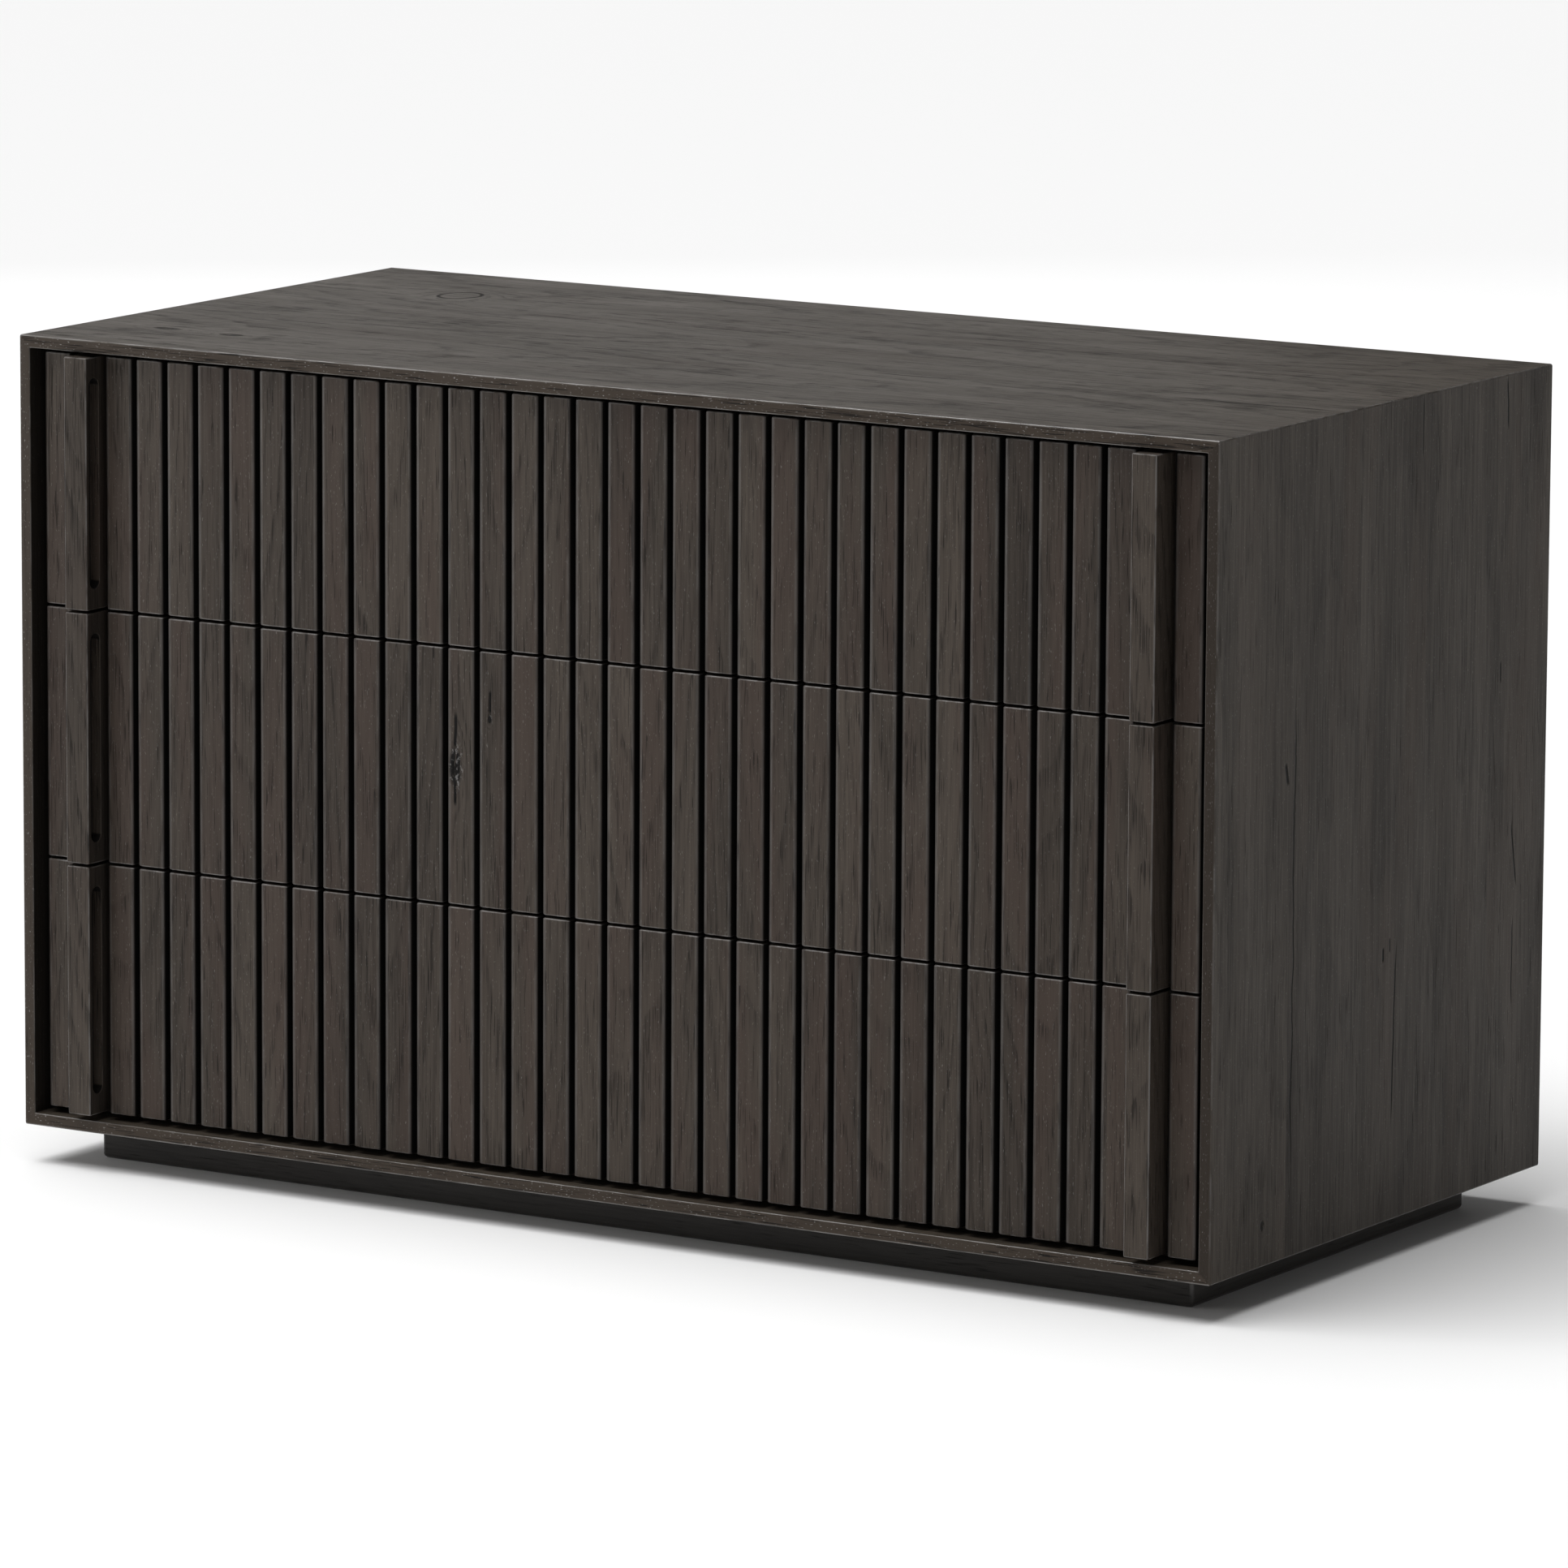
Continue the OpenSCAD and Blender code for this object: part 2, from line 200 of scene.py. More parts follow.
class Graph:
    """A node tree under construction."""

    def __init__(self, tree: bpy.types.NodeTree) -> None:
        """Starts with an empty tree."""
        self.tree = tree
        tree.nodes.clear()

    def node(
        self, kind: str, settings: Settings | None = None, sockets: Sockets | None = None
    ) -> bpy.types.Node:
        """Adds a node.

        Args:
            kind: the node's type.
            settings: its properties, which are set first.
            sockets: values or links for its inputs, by name or number.

        Returns:
            The node.
        """
        made = self.tree.nodes.new(kind)
        for key, value in (settings or {}).items():
            setattr(made, key, value)
        for key, value in (sockets or {}).items():
            self.feed(made.inputs[key], value)
        return made

    def out(self, kind: str, settings: Settings, sockets: Sockets, output: int | str = 0) -> Socket:
        """Adds a node and returns one of its outputs."""
        return self.node(kind, settings, sockets).outputs[output]

    def feed(self, socket: Socket, value: object) -> None:
        """Links a signal or socket to an input, or sets the input's own value.

        Args:
            socket: the input.
            value: a signal, a socket or a plain value.
        """
        source = value.socket if isinstance(value, Signal) else value
        if isinstance(source, Socket):
            self.tree.links.new(source, socket)
        else:
            socket.default_value = source


class Shader(Graph):
    """A material's node tree."""

    def __init__(self, name: str) -> None:
        """Makes a material of that name with an empty tree."""
        self.material = bpy.data.materials.new(name)
        self.material.use_nodes = True
        super().__init__(self.material.node_tree)

    def signal(self, kind: str, settings: Settings, sockets: Sockets, output: int | str = 0) -> Signal:
        """Adds a node and returns one of its outputs as a signal."""
        return Signal(self, self.out(kind, settings, sockets, output))

    def axes(self) -> list[Signal]:
        """The three object coordinates, in metres."""
        place = self.node("ShaderNodeTexCoord").outputs["Object"]
        split = self.node("ShaderNodeSeparateXYZ", {}, {0: place})
        return [Signal(self, output) for output in split.outputs]

    def attribute(self, name: str) -> Signal:
        """A number stored on the mesh."""
        return self.signal("ShaderNodeAttribute", {"attribute_name": name}, {}, "Fac")

    def vector(self, x: object, y: object, z: object) -> Socket:
        """Three numbers as one vector."""
        return self.node("ShaderNodeCombineXYZ", {}, {0: x, 1: y, 2: z}).outputs[0]

    def noise(self, place: Socket, detail: float = 2.0, rough: float = 0.5) -> Signal:
        """Smooth noise with cells one unit across."""
        sockets = {"Vector": place, "Scale": 1.0, "Detail": detail, "Roughness": rough}
        return self.signal("ShaderNodeTexNoise", {}, sockets, "Fac")

    def streak(self, kind: Streak, spot: Sequence[Signal]) -> Signal:
        """Noise drawn out along the grain.

        Args:
            kind: which of the timbers' noises.
            spot: the place along, across and through the grain, in metres.

        Returns:
            The noise, from 0 to 1.
        """
        along, across, detail, rough, shift = kind.value
        far, side, through = spot
        place = self.vector(far * along + shift, side * across, through * across)
        return self.noise(place, detail, rough)

    def white(self, seed: object) -> Signal:
        """A random number between 0 and 1 for each value of the seed."""
        return self.signal("ShaderNodeTexWhiteNoise", {"noise_dimensions": "1D"}, {"W": seed}, "Value")

    def blend(self, share: object, first: object, second: object) -> Socket:
        """Mixes two colours.

        Args:
            share: how much of the second shows, from 0 to 1.
            first: a colour or colour socket.
            second: a colour or colour socket.

        Returns:
            The mixed colour's socket.
        """
        pair = [(*colour, 1.0) if isinstance(colour, tuple) else colour for colour in (first, second)]
        node = self.node("ShaderNodeMix", {"data_type": "RGBA"}, {0: share, 6: pair[0], 7: pair[1]})
        return node.outputs[2]

    def surface(
        self, colour: object, rough: object, height: Signal, depth: float, **fixed: object
    ) -> bpy.types.Material:
        """Ends the tree in a Principled surface.

        Args:
            colour: base colour socket.
            rough: roughness.
            height: relief, about 0 to 1.
            depth: depth of that relief in metres.
            fixed: the shader's other inputs, by name with underscores for spaces.

        Returns:
            The finished material.
        """
        bump = self.node("ShaderNodeBump", {}, {"Strength": 1.0, "Distance": depth, "Height": height})
        sockets = {"Base Color": colour, "Roughness": rough, "Normal": bump.outputs[0]}
        sockets |= {name.replace("_", " "): value for name, value in fixed.items()}
        lit = self.node("ShaderNodeBsdfPrincipled", {}, sockets)
        self.node("ShaderNodeOutputMaterial", {}, {0: lit.outputs[0]})
        return self.material


# ---------------------------------------------------------------- finishes


@dataclass(frozen=True)
class Check:
    """A drying crack, from start to end in shares of the board's box (along, across) its grain."""

    start: tuple[float, float]
    end: tuple[float, float]
    width: float = 0.45 * MM
    wander: float = 1.5 * MM


@dataclass(frozen=True)
class Knot:
    """A knot, with its place in shares of the board's box and its radii in metres."""

    along: float
    across: float
    length: float
    breadth: float
    darkness: float = 0.8
    hollow: bool = False
    glinting: bool = False


# How far the figure moves from slat to slat and from stave to stave; the steps only have to be unequal.
SLAT_STEP, SLAT_SHIFT, STAVE_SHIFT, SIDE_SHARE = 31.3, 3.1, 7.3, 0.41
# Where the first seam between staves falls, in staves, and how wide a seam is.
FIRST_SEAM, SEAM_WIDTH = 0.37, 0.4 * MM
# How far the warp bends the rings, in metres, and by how many rings the ripple shifts them.
BEND, RIPPLE = 0.03, 0.7
# The glint noise at which a painted glint begins and is full, and how much a lip lowers both so that lips
# carry more painted glints.
SPECK_FROM, SPECK_TO, SPECK_GAIN = 0.75, 0.84, 0.04


@dataclass(frozen=True)
class Timber:
    """A wood finish: its stain, figure, pores and sheen."""

    slot: str
    pale: Colour
    deep: Colour
    warm: Colour
    pore_and_shade: Colour
    wear_and_highlight: Colour
    board: float = 0.12
    rings: float = 230.0
    ring_contrast: float = 0.12
    lean: float = 0.07
    heart: float = 0.035
    # How much darker the oak is made: a tone of its own for the handles, but painted shade on the side boards
    # and painted light on the top, which share one oak.
    shade: float = 0.0
    tone_spread: float = 0.3
    patch_spread: float = 0.9
    fibre_spread: float = 1.3
    blush: float = 0.6
    pore_share: float = 0.5
    pore_dark: float = 0.6
    sheen: float = 0.5
    specular: float = 0.22
    relief: float = 0.12 * MM
    edge_wear_and_highlight: float = 0.55
    polish: float = 0.7
    polish_rough: float = 0.28

    def material(
        self, grain: Grain, box: Box | None = None, faults: Sequence[Check | Knot] = ()
    ) -> bpy.types.Material:
        """Makes this finish for one grain direction.

        Args:
            grain: the axes that the grain follows.
            box: the board's lowest and highest corners, which the faults are placed in.
            faults: checks and knots.

        Returns:
            The material.
        """
        shader = Shader(f"{self.slot}_{grain.name.lower()}")
        axes = shader.axes()
        along, across, through = (axes[number] for number in grain.value)
        names = (PLANK, TINT, ARRIS, RECESS, LIP)
        plank, tint, arris, recess, lip = (shader.attribute(name) for name in names)
        dark, swirl, knot_glint = self._faults(shader, grain, box, faults, along, across)

        place = across / self.board + plank * SLAT_STEP + FIRST_SEAM
        stave = shader.white(place.floor() + 0.5)
        seam = abs(place.fraction() - 0.5).rise(0.5 - SEAM_WIDTH / self.board, 0.5)
        shift = stave * STAVE_SHIFT + plank * SLAT_SHIFT
        spot = (along + shift, across + shift * SIDE_SHARE, through)

        bend = (shader.streak(Streak.WARP, spot) - 0.5) * BEND
        crown = (place.fraction() - 0.5) * self.board + bend
        reach = along * self.lean + self.heart * (stave + 0.4) + bend + through * 0.5
        ripple = (shader.streak(Streak.RIPPLE, spot) - 0.5) * RIPPLE
        ring = ((crown * crown + reach * reach) ** 0.5 * self.rings + ripple + swirl).fraction()
        early = ring.rise(0.0, 0.08) * ring.rise(0.6, 0.12)

        fibre = shader.streak(Streak.FIBRE, spot) - 0.5
        patch = shader.streak(Streak.PATCH, spot) - 0.5
        cluster = shader.streak(Streak.CLUSTER, spot) - 0.5
        level = 0.80 - self.pore_share * (0.10 + early * 0.11 + cluster * 0.24)
        vein = shader.streak(Streak.VEIN, spot).rise(level - 0.01, level + 0.09)
        pores = shader.streak(Streak.DASH, spot).rise(level, level + 0.07).most(vein * 0.8)
        gain = lip * SPECK_GAIN
        # Bright specks are painted glints, with more of them on the lips.
        speck = shader.streak(Streak.GLINT, spot).rise(SPECK_FROM - gain, SPECK_TO - gain)
        scuff = shader.streak(Streak.SCUFF, spot).rise(0.3, 0.62)
        blush = (shader.streak(Streak.RED, spot) + tint * 0.09).rise(0.47, 0.72) * self.blush

        depth = (
            early * self.ring_contrast
            + patch * self.patch_spread
            + fibre * self.fibre_spread
            + (stave + tint - 1.0) * self.tone_spread
            + (0.42 + self.shade)
        )
        colour = shader.blend(depth.clamped(), self.pale, self.deep)
        colour = shader.blend(blush.most(lip * 0.75), colour, self.warm)
        colour = shader.blend(speck * (0.3 + lip * 0.35), colour, self.wear_and_highlight)
        # Rounded edges are lightened: partly rubbed wear, partly a painted highlight where light catches
        # them.
        colour = shader.blend(arris * scuff * self.edge_wear_and_highlight, colour, self.wear_and_highlight)
        # Pores, faults and stave seams darken the wood; the recess mark adds painted shade in grooves, in the
        # case's mouth and on the right lip.
        dark_marks_and_painted_shade = (pores * self.pore_dark).most(dark).most(seam * 0.35).most(recess)
        colour = shader.blend(dark_marks_and_painted_shade.clamped(), colour, self.pore_and_shade)
        # Painted highlights on the bumps of a rough knot.
        colour = shader.blend(knot_glint, colour, self.wear_and_highlight)

        rough = self.sheen + (pores + dark - arris) * 0.2 + recess * 0.3 + fibre * 0.25 + patch * 0.15
        height = fibre * 0.5 - pores * 0.7 - dark * 4.0 - early * 0.12
        gloss = {
            "Specular_IOR_Level": self.specular,
            "Coat_Weight": arris * self.polish,
            "Coat_Roughness": self.polish_rough,
        }
        return shader.surface(colour, rough.clamped(), height, self.relief, **gloss)

    def _faults(
        self,
        shader: Shader,
        grain: Grain,
        box: Box | None,
        faults: Sequence[Check | Knot],
        along: Signal,
        across: Signal,
    ) -> tuple[Signal, Signal, Signal]:
        """Works out where checks and knots darken the wood and swirl its rings, and where painted highlights
        fleck a rough knot.

        Args:
            shader: the tree that the faults are added to.
            grain: the axes that the grain follows.
            box: the board's lowest and highest corners, or None for sound wood.
            faults: checks and knots.
            along: the place along the grain, in metres.
            across: the place across it.

        Returns:
            The darkness, the number of rings that the knots add, and the painted highlights on rough knots;
            all but the rings are from 0 to 1.
        """
        dark = along * 0.0
        swirl, knot_glint = dark, dark
        if box is None:
            return dark, swirl, knot_glint
        low, high = box
        jitter = shader.noise(shader.vector(along * 22, across * 6, 0.0), 3.0) - 0.5
        crumble = shader.noise(shader.vector(along * 160, across * 500, 0.0), 2.0)
        glint_spots = shader.noise(shader.vector(along * 230, across * 330, 3.0), 3.0, 0.7).rise(0.54, 0.64)

        def at(spot: tuple[float, float]) -> tuple[float, float]:
            """A place in metres along and across, from its shares of the board's box."""
            pairs = zip(grain.value[:2], spot)
            return tuple(low[axis] + (high[axis] - low[axis]) * share for axis, share in pairs)

        for fault in faults:
            if isinstance(fault, Check):
                (start, first), (end, last) = at(fault.start), at(fault.end)
                middle = (along - start) * ((last - first) / (end - start)) + first
                taper = (end - start) * 0.2
                off = abs(across - middle + jitter * fault.wander * 2)
                inside = along.rise(start, start + taper) * along.rise(end, end - taper)
                line = off.rise(fault.width, fault.width * 0.5) * inside * crumble.rise(0.16, 0.34)
                dark = dark.most(line)
                continue
            centre, middle = at((fault.along, fault.across))
            u = (along - centre) / fault.length
            v = (across - middle + jitter * fault.breadth * 0.5) / fault.breadth
            radius = (u * u + v * v) ** 0.5
            swirl = swirl + radius.rise(2.6, 0.2) * 2.4
            rim = abs(radius - 1.0).rise(0.13, 0.04) * crumble.rise(0.30, 0.42)
            heart = radius.rise(1.1, 0.6) * crumble.rise(0.34, 0.46)
            dark = dark.most((rim if fault.hollow else heart) * fault.darkness)
            if fault.glinting:
                knot_glint = knot_glint.most(radius.rise(1.4, 0.8) * glint_spots * 0.5)
        return dark, swirl, knot_glint


@dataclass(frozen=True)
class PlatedSteel:
    """Zinc-plated rolled steel."""

    slot: str
    colour: Colour
    tarnish: Colour
    rough: float
    brush: float = 900.0

    def material(self) -> bpy.types.Material:
        """Makes the finish, drawn along the row's Y axis."""
        shader = Shader(self.slot)
        x, y, z = shader.axes()
        drawn = shader.noise(shader.vector(x * self.brush, y * 9, z * self.brush), 2.0)
        cloud = shader.noise(shader.vector(x * 70, y * 40, z * 70), 3.0)
        speck = shader.noise(shader.vector(x * 1400, y * 1400, z * 1400), 1.0)
        colour = shader.blend(cloud.rise(0.35, 0.7) * 0.6, self.colour, self.tarnish)
        rough = self.rough + (cloud - 0.5) * 0.25 + (drawn - 0.5) * 0.2
        height = drawn * 0.7 + speck * 0.3
        return shader.surface(colour, rough.clamped(), height, 0.02 * MM, Metallic=1.0)


@dataclass(frozen=True)
class StudioPaper:
    """Matt pale paper for the floor."""

    colour: Colour = (0.93, 0.93, 0.93)

    def material(self) -> bpy.types.Material:
        """Makes the finish."""
        shader = Shader("studio_paper")
        x, y, z = shader.axes()
        tooth = shader.noise(shader.vector(x * 90, y * 90, z * 90), 3.0)
        colour = shader.blend(tooth * 0.06, self.colour, (0.88, 0.88, 0.88))
        return shader.surface(colour, tooth * 0.05 + 0.85, tooth, 0.05 * MM)


# The dark colour of pores and painted shade, and the pale colour of rubbed edges and painted highlights.
SHARED = {"pore_and_shade": (0.003, 0.0025, 0.0022), "wear_and_highlight": (0.25, 0.24, 0.235)}
STAIN = SHARED | {
    "pale": (0.070, 0.0565, 0.0455),
    "deep": (0.0205, 0.0158, 0.0125),
    "warm": (0.050, 0.0345, 0.0275),
}
CASE_STAIN = SHARED | {
    "pale": (0.055, 0.0445, 0.034),
    "deep": (0.017, 0.0132, 0.0098),
    "warm": (0.038, 0.0275, 0.0198),
}
SIDE_OAK = Timber(
    "case_oak",
    **CASE_STAIN,
    board=0.088,
    lean=0.02,
    heart=0.09,
    patch_spread=1.1,
    fibre_spread=1.6,
    pore_share=0.6,
    pore_dark=0.45,
    specular=0.16,
    # Painted shade: the side boards are darker than the same oak on the top.
    shade=0.26,
    edge_wear_and_highlight=0.25,
    polish=0.15,
)
TOP_OAK = Timber(
    "case_oak",
    **CASE_STAIN,
    board=0.146,
    lean=0.03,
    patch_spread=1.0,
    pore_share=0.95,
    pore_dark=0.85,
    blush=0.5,
    # Painted light: the top is lighter than the same oak on the sides.
    shade=-0.14,
    specular=0.14,
    polish=1.0,
    polish_rough=0.14,
)
SLAT_OAK = Timber(
    "slat_oak", **STAIN, board=0.1, lean=0.06, heart=0.02, patch_spread=0.7, pore_share=0.85, specular=0.14
)
HANDLE_OAK = Timber(
    "handle_oak",
    **STAIN,
    board=0.05,
    pore_share=1.0,
    relief=0.2 * MM,
    shade=0.2,
    edge_wear_and_highlight=0.35,
    polish=0.3,
    specular=0.14,
)
PLINTH_OAK = Timber(
    "plinth_oak",
    (0.030, 0.027, 0.024),
    (0.012, 0.0105, 0.009),
    (0.022, 0.017, 0.014),
    (0.003, 0.003, 0.003),
    (0.06, 0.055, 0.05),
)
# A near-black board behind the gaps between slats and between rows, dark enough to paint the shade seen in
# those gaps.
BLACK_BOARD = Timber(
    "black_stained_board",
    (0.008, 0.007, 0.006),
    (0.004, 0.003, 0.003),
    (0.006, 0.005, 0.004),
    (0.002, 0.002, 0.002),
    (0.015, 0.013, 0.012),
)
BACK_VENEER = Timber("back_panel_veneer", **CASE_STAIN, board=0.15, relief=0.08 * MM)
BIRCH = Timber(
    "drawer_box_birch",
    (0.66, 0.50, 0.34),
    (0.44, 0.30, 0.18),
    (0.58, 0.39, 0.24),
    (0.24, 0.15, 0.09),
    (0.70, 0.56, 0.40),
    board=0.16,
    rings=150.0,
    ring_contrast=0.3,
    pore_share=0.1,
    sheen=0.42,
    specular=0.5,
    relief=0.05 * MM,
    edge_wear_and_highlight=0.2,
)
SLIDE_STEEL = PlatedSteel("slide_steel", (0.55, 0.56, 0.57), (0.40, 0.41, 0.43), 0.34)
SCREW_STEEL = PlatedSteel("screw_steel", (0.42, 0.42, 0.43), (0.26, 0.26, 0.27), 0.38, 300.0)


# ---------------------------------------------------------------- shaping


def add_object(name: str, data: bpy.types.ID) -> bpy.types.Object:
    """Adds an object to the scene, at the origin.

    Args:
        name: its name.
        data: its mesh, light or camera.

    Returns:
        The object.
    """
    made = bpy.data.objects.new(name, data)
    bpy.context.scene.collection.objects.link(made)
    return made


def keep_flats(piece: bpy.types.Object) -> None:
    """Keeps flat faces shaded flat beside rounded edges."""
    weighted = piece.modifiers.new("flat_faces", "WEIGHTED_NORMAL")
    weighted.keep_sharp = True


def rounded(corners: Sequence[Corner], steps: int = 3) -> list[Corner]:
    """Rounds the square corners of a closed outline.

    Args:
        corners: (a, d, radius) of each corner in order.
        steps: number of segments in each arc.

    Returns:
        (a, d, arris) of each point, where arris is 1 in the middle of an arc and 0 off it.
    """
    outline: list[Corner] = []
    for number, (a, d, radius) in enumerate(corners):
        spot = Vector((a, d))
        if radius <= 0:
            outline.append((a, d, 0.0))
            continue
        before = (Vector(corners[number - 1][:2]) - spot).normalized()
        after = (Vector(corners[(number + 1) % len(corners)][:2]) - spot).normalized()
        centre = spot + (before + after) * radius
        for step in range(steps + 1):
            angle = math.pi / 2 * step / steps
            point = centre - (after * math.cos(angle) + before * math.sin(angle)) * radius
            outline.append((point.x, point.y, math.sin(2 * angle)))
    return outline


class Blank:
    """A mesh being shaped before it becomes a piece."""

    def __init__(self) -> None:
        """Starts empty, with the number that marks arrises on each vertex."""
        self.mesh = bmesh.new()
        self.mesh.verts.layers.float.new(ARRIS)

    @property
    def arris(self) -> bmesh.types.BMLayerItem:
        """Where each vertex holds how much it stands on an arris."""
        return self.mesh.verts.layers.float[ARRIS]

    def mark(self, name: str, rule: Callable[[Vector], float]) -> "Blank":
        """Stores a number on every vertex.

        Args:
            name: the attribute's name.
            rule: gives the number from the vertex's place.

        Returns:
            This blank.
        """
        layer = self.mesh.verts.layers.float.new(name)
        for vertex in self.mesh.verts:
            vertex[layer] = rule(vertex.co)
        return self

    @classmethod
    def from_node(cls, node: str) -> "Blank":
        """Copies a CAD node's mesh, with its triangles merged into flat faces.

        Args:
            node: the CAD node.

        Returns:
            The blank.
        """
        blank = cls()
        blank.mesh.from_mesh(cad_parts[node].data)
        if ARRIS not in blank.mesh.verts.layers.float:
            blank.mesh.verts.layers.float.new(ARRIS)
        bmesh.ops.remove_doubles(blank.mesh, verts=blank.mesh.verts, dist=MERGED)
        bmesh.ops.dissolve_limit(
            blank.mesh, angle_limit=FLAT, verts=blank.mesh.verts, edges=blank.mesh.edges
        )
        return blank

    @classmethod
    def mitred(cls, outline: Sequence[Corner], half: float, thickness: float, radius: float) -> "Blank":
        """A board with both ends mitred, and its outer edges rounded across the mitres.

        The board lies along local X, its outer face is at local Z = 0 and its inner face below it.

        Args:
            outline: (y, depth, arris) of the section, from rounded().
            half: half the length of the outer face.
            thickness: greatest depth of the section.
            radius: radius of the rounded corner that two boards share.

        Returns:
            The blank.
        """
        blank = cls()
        quarter = math.pi / 4
        angles = [quarter * step / 2 for step in range(3)]
        end_drop = radius * (1 - math.cos(quarter))
        stations = [(-1, angle) for angle in reversed(angles)] + [(1, angle) for angle in angles]
        rings = []
        for side, angle in stations:
            drop = radius * (1 - math.cos(angle))
            back = radius * (math.sin(quarter) - math.sin(angle))
            ring = []
            for y, depth, arris in outline:
                reach = half - (end_drop + depth * (1 - end_drop / thickness))
                sunk = drop + depth * (1 - drop / thickness)
                vertex = blank.mesh.verts.new((side * (reach - back), y, -sunk))
                on_edge = math.sin(2 * angle) if depth < radius else 0.0
                vertex[blank.arris] = max(arris, on_edge)
                ring.append(vertex)
            rings.append(ring)
        blank.loft(rings)
        blank.cap(rings[0], rings[-1])
        return blank.outward()

    def loft(self, rings: Sequence[Ring]) -> None:
        """Closes the walls between closed rings of as many vertices.

        Args:
            rings: the rings, each joined to the next.
        """
        for first, second in zip(rings, rings[1:]):
            for number in range(len(first)):
                after = (number + 1) % len(first)
                self.mesh.faces.new((first[number], first[after], second[after], second[number]))

    def cap(self, *rings: Ring) -> None:
        """Closes each ring with one flat face."""
        for ring in rings:
            self.mesh.faces.new(ring)

    def turn(self, profile: Sequence[tuple[float, float]], sides: int) -> list[Ring]:
        """Turns a wall about the Z axis.

        Args:
            profile: (radius, z) of each ring in order.
            sides: number of vertices in a ring.

        Returns:
            The rings.
        """
        angles = [math.tau * number / sides for number in range(sides)]
        rings = [
            [self.mesh.verts.new((radius * math.cos(angle), radius * math.sin(angle), z)) for angle in angles]
            for radius, z in profile
        ]
        self.loft(rings)
        return rings

    def outward(self) -> "Blank":
        """Turns every face outwards."""
        bmesh.ops.recalc_face_normals(self.mesh, faces=self.mesh.faces)
        return self

    def ease(
        self,
        radius: float,
        segments: int = 2,
        choose: Callable[[bmesh.types.BMEdge], bool] | None = None,
        shortest: float = 3 * MM,
        wear_and_highlight: bool = True,
    ) -> "Blank":
        """Rounds sharp edges.

        Args:
            radius: how far each edge is cut back.
            segments: number of strips in each rounding.
            choose: says whether to round an edge; all sharp ones without it.
            shortest: edges below this length are left.
            wear_and_highlight: whether the rounding is marked as an arris, which wear and a painted highlight
                reach.

        Returns:
            This blank.
        """
        edges = [
            edge
            for edge in self.mesh.edges
            if len(edge.link_faces) == 2
            and edge.calc_face_angle(0.0) > SHARP
            and edge.calc_length() > shortest
            and (choose is None or choose(edge))
        ]
        made = bmesh.ops.bevel(
            self.mesh,
            geom=edges,
            offset=radius,
            offset_type="OFFSET",
            segments=segments,
            profile=0.5,
            affect="EDGES",
            clamp_overlap=True,
        )
        strips = set(made["faces"])
        for vertex in made["verts"]:
            if wear_and_highlight and vertex.is_valid and all(face in strips for face in vertex.link_faces):
                vertex[self.arris] = 1.0
        return self

    def moved(self, matrix: Matrix) -> "Blank":
        """Places the blank in the row frame; a mirroring matrix is put right."""
        self.mesh.transform(matrix)
        return self.outward()

    def object(self, name: str, smooth: bool = True) -> bpy.types.Object:
        """Ends the shaping.

        Args:
            name: the object's name.
            smooth: whether rounded edges shade smoothly.

        Returns:
            The object, linked to the scene at the origin.
        """
        data = bpy.data.meshes.new(name)
        for face in self.mesh.faces:
            face.smooth = smooth
        self.mesh.to_mesh(data)
        self.mesh.free()
        if smooth:
            data.set_sharp_from_angle(angle=CREASE)
        made = add_object(name, data)
        if smooth:
            keep_flats(made)
        return made


def settle(piece: bpy.types.Object, body: str, slot: str, *nodes: str) -> None:
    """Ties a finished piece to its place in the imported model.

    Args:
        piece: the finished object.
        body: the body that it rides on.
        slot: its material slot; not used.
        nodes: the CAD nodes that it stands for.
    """
    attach(piece, body)
    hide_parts(*nodes)
    LOG.info("%s rides on %s for %s", piece.name, body, ", ".join(nodes))


def dress(piece: bpy.types.Object, material: bpy.types.Material) -> bpy.types.Object:
    """Gives a piece one material."""
    piece.data.materials.clear()
    piece.data.materials.append(material)
    return piece


def ease_copy(
    node: str, name: str, edge: float, finish: Timber | PlatedSteel, body: str, *grain: Grain
) -> None:
    """Makes a piece that keeps a CAD node's own shape, with its edges eased, and ties it.

    Args:
        node: the CAD node.
        name: the piece's name.
        edge: how far each edge is cut back.
        finish: its finish.
        body: the body that it rides on.
        grain: a timber's grain direction.
    """
    blank = Blank.from_node(node).ease(edge)
    settle(dress(blank.object(name), finish.material(*grain)), body, finish.slot, node)


def section(node: str, across: int, depth: int) -> np.ndarray:
    """The distinct corners of a CAD node seen along one axis.

    Args:
        node: the CAD node.
        across: number of the first coordinate that is kept.
        depth: number of the second.

    Returns:
        A row of the two coordinates for each corner.
    """
    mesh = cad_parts[node].data
    points = np.array([vertex.co[:] for vertex in mesh.vertices])[:, [across, depth]]
    return np.unique(points.round(6), axis=0)


# ---------------------------------------------------------------- case and plinth


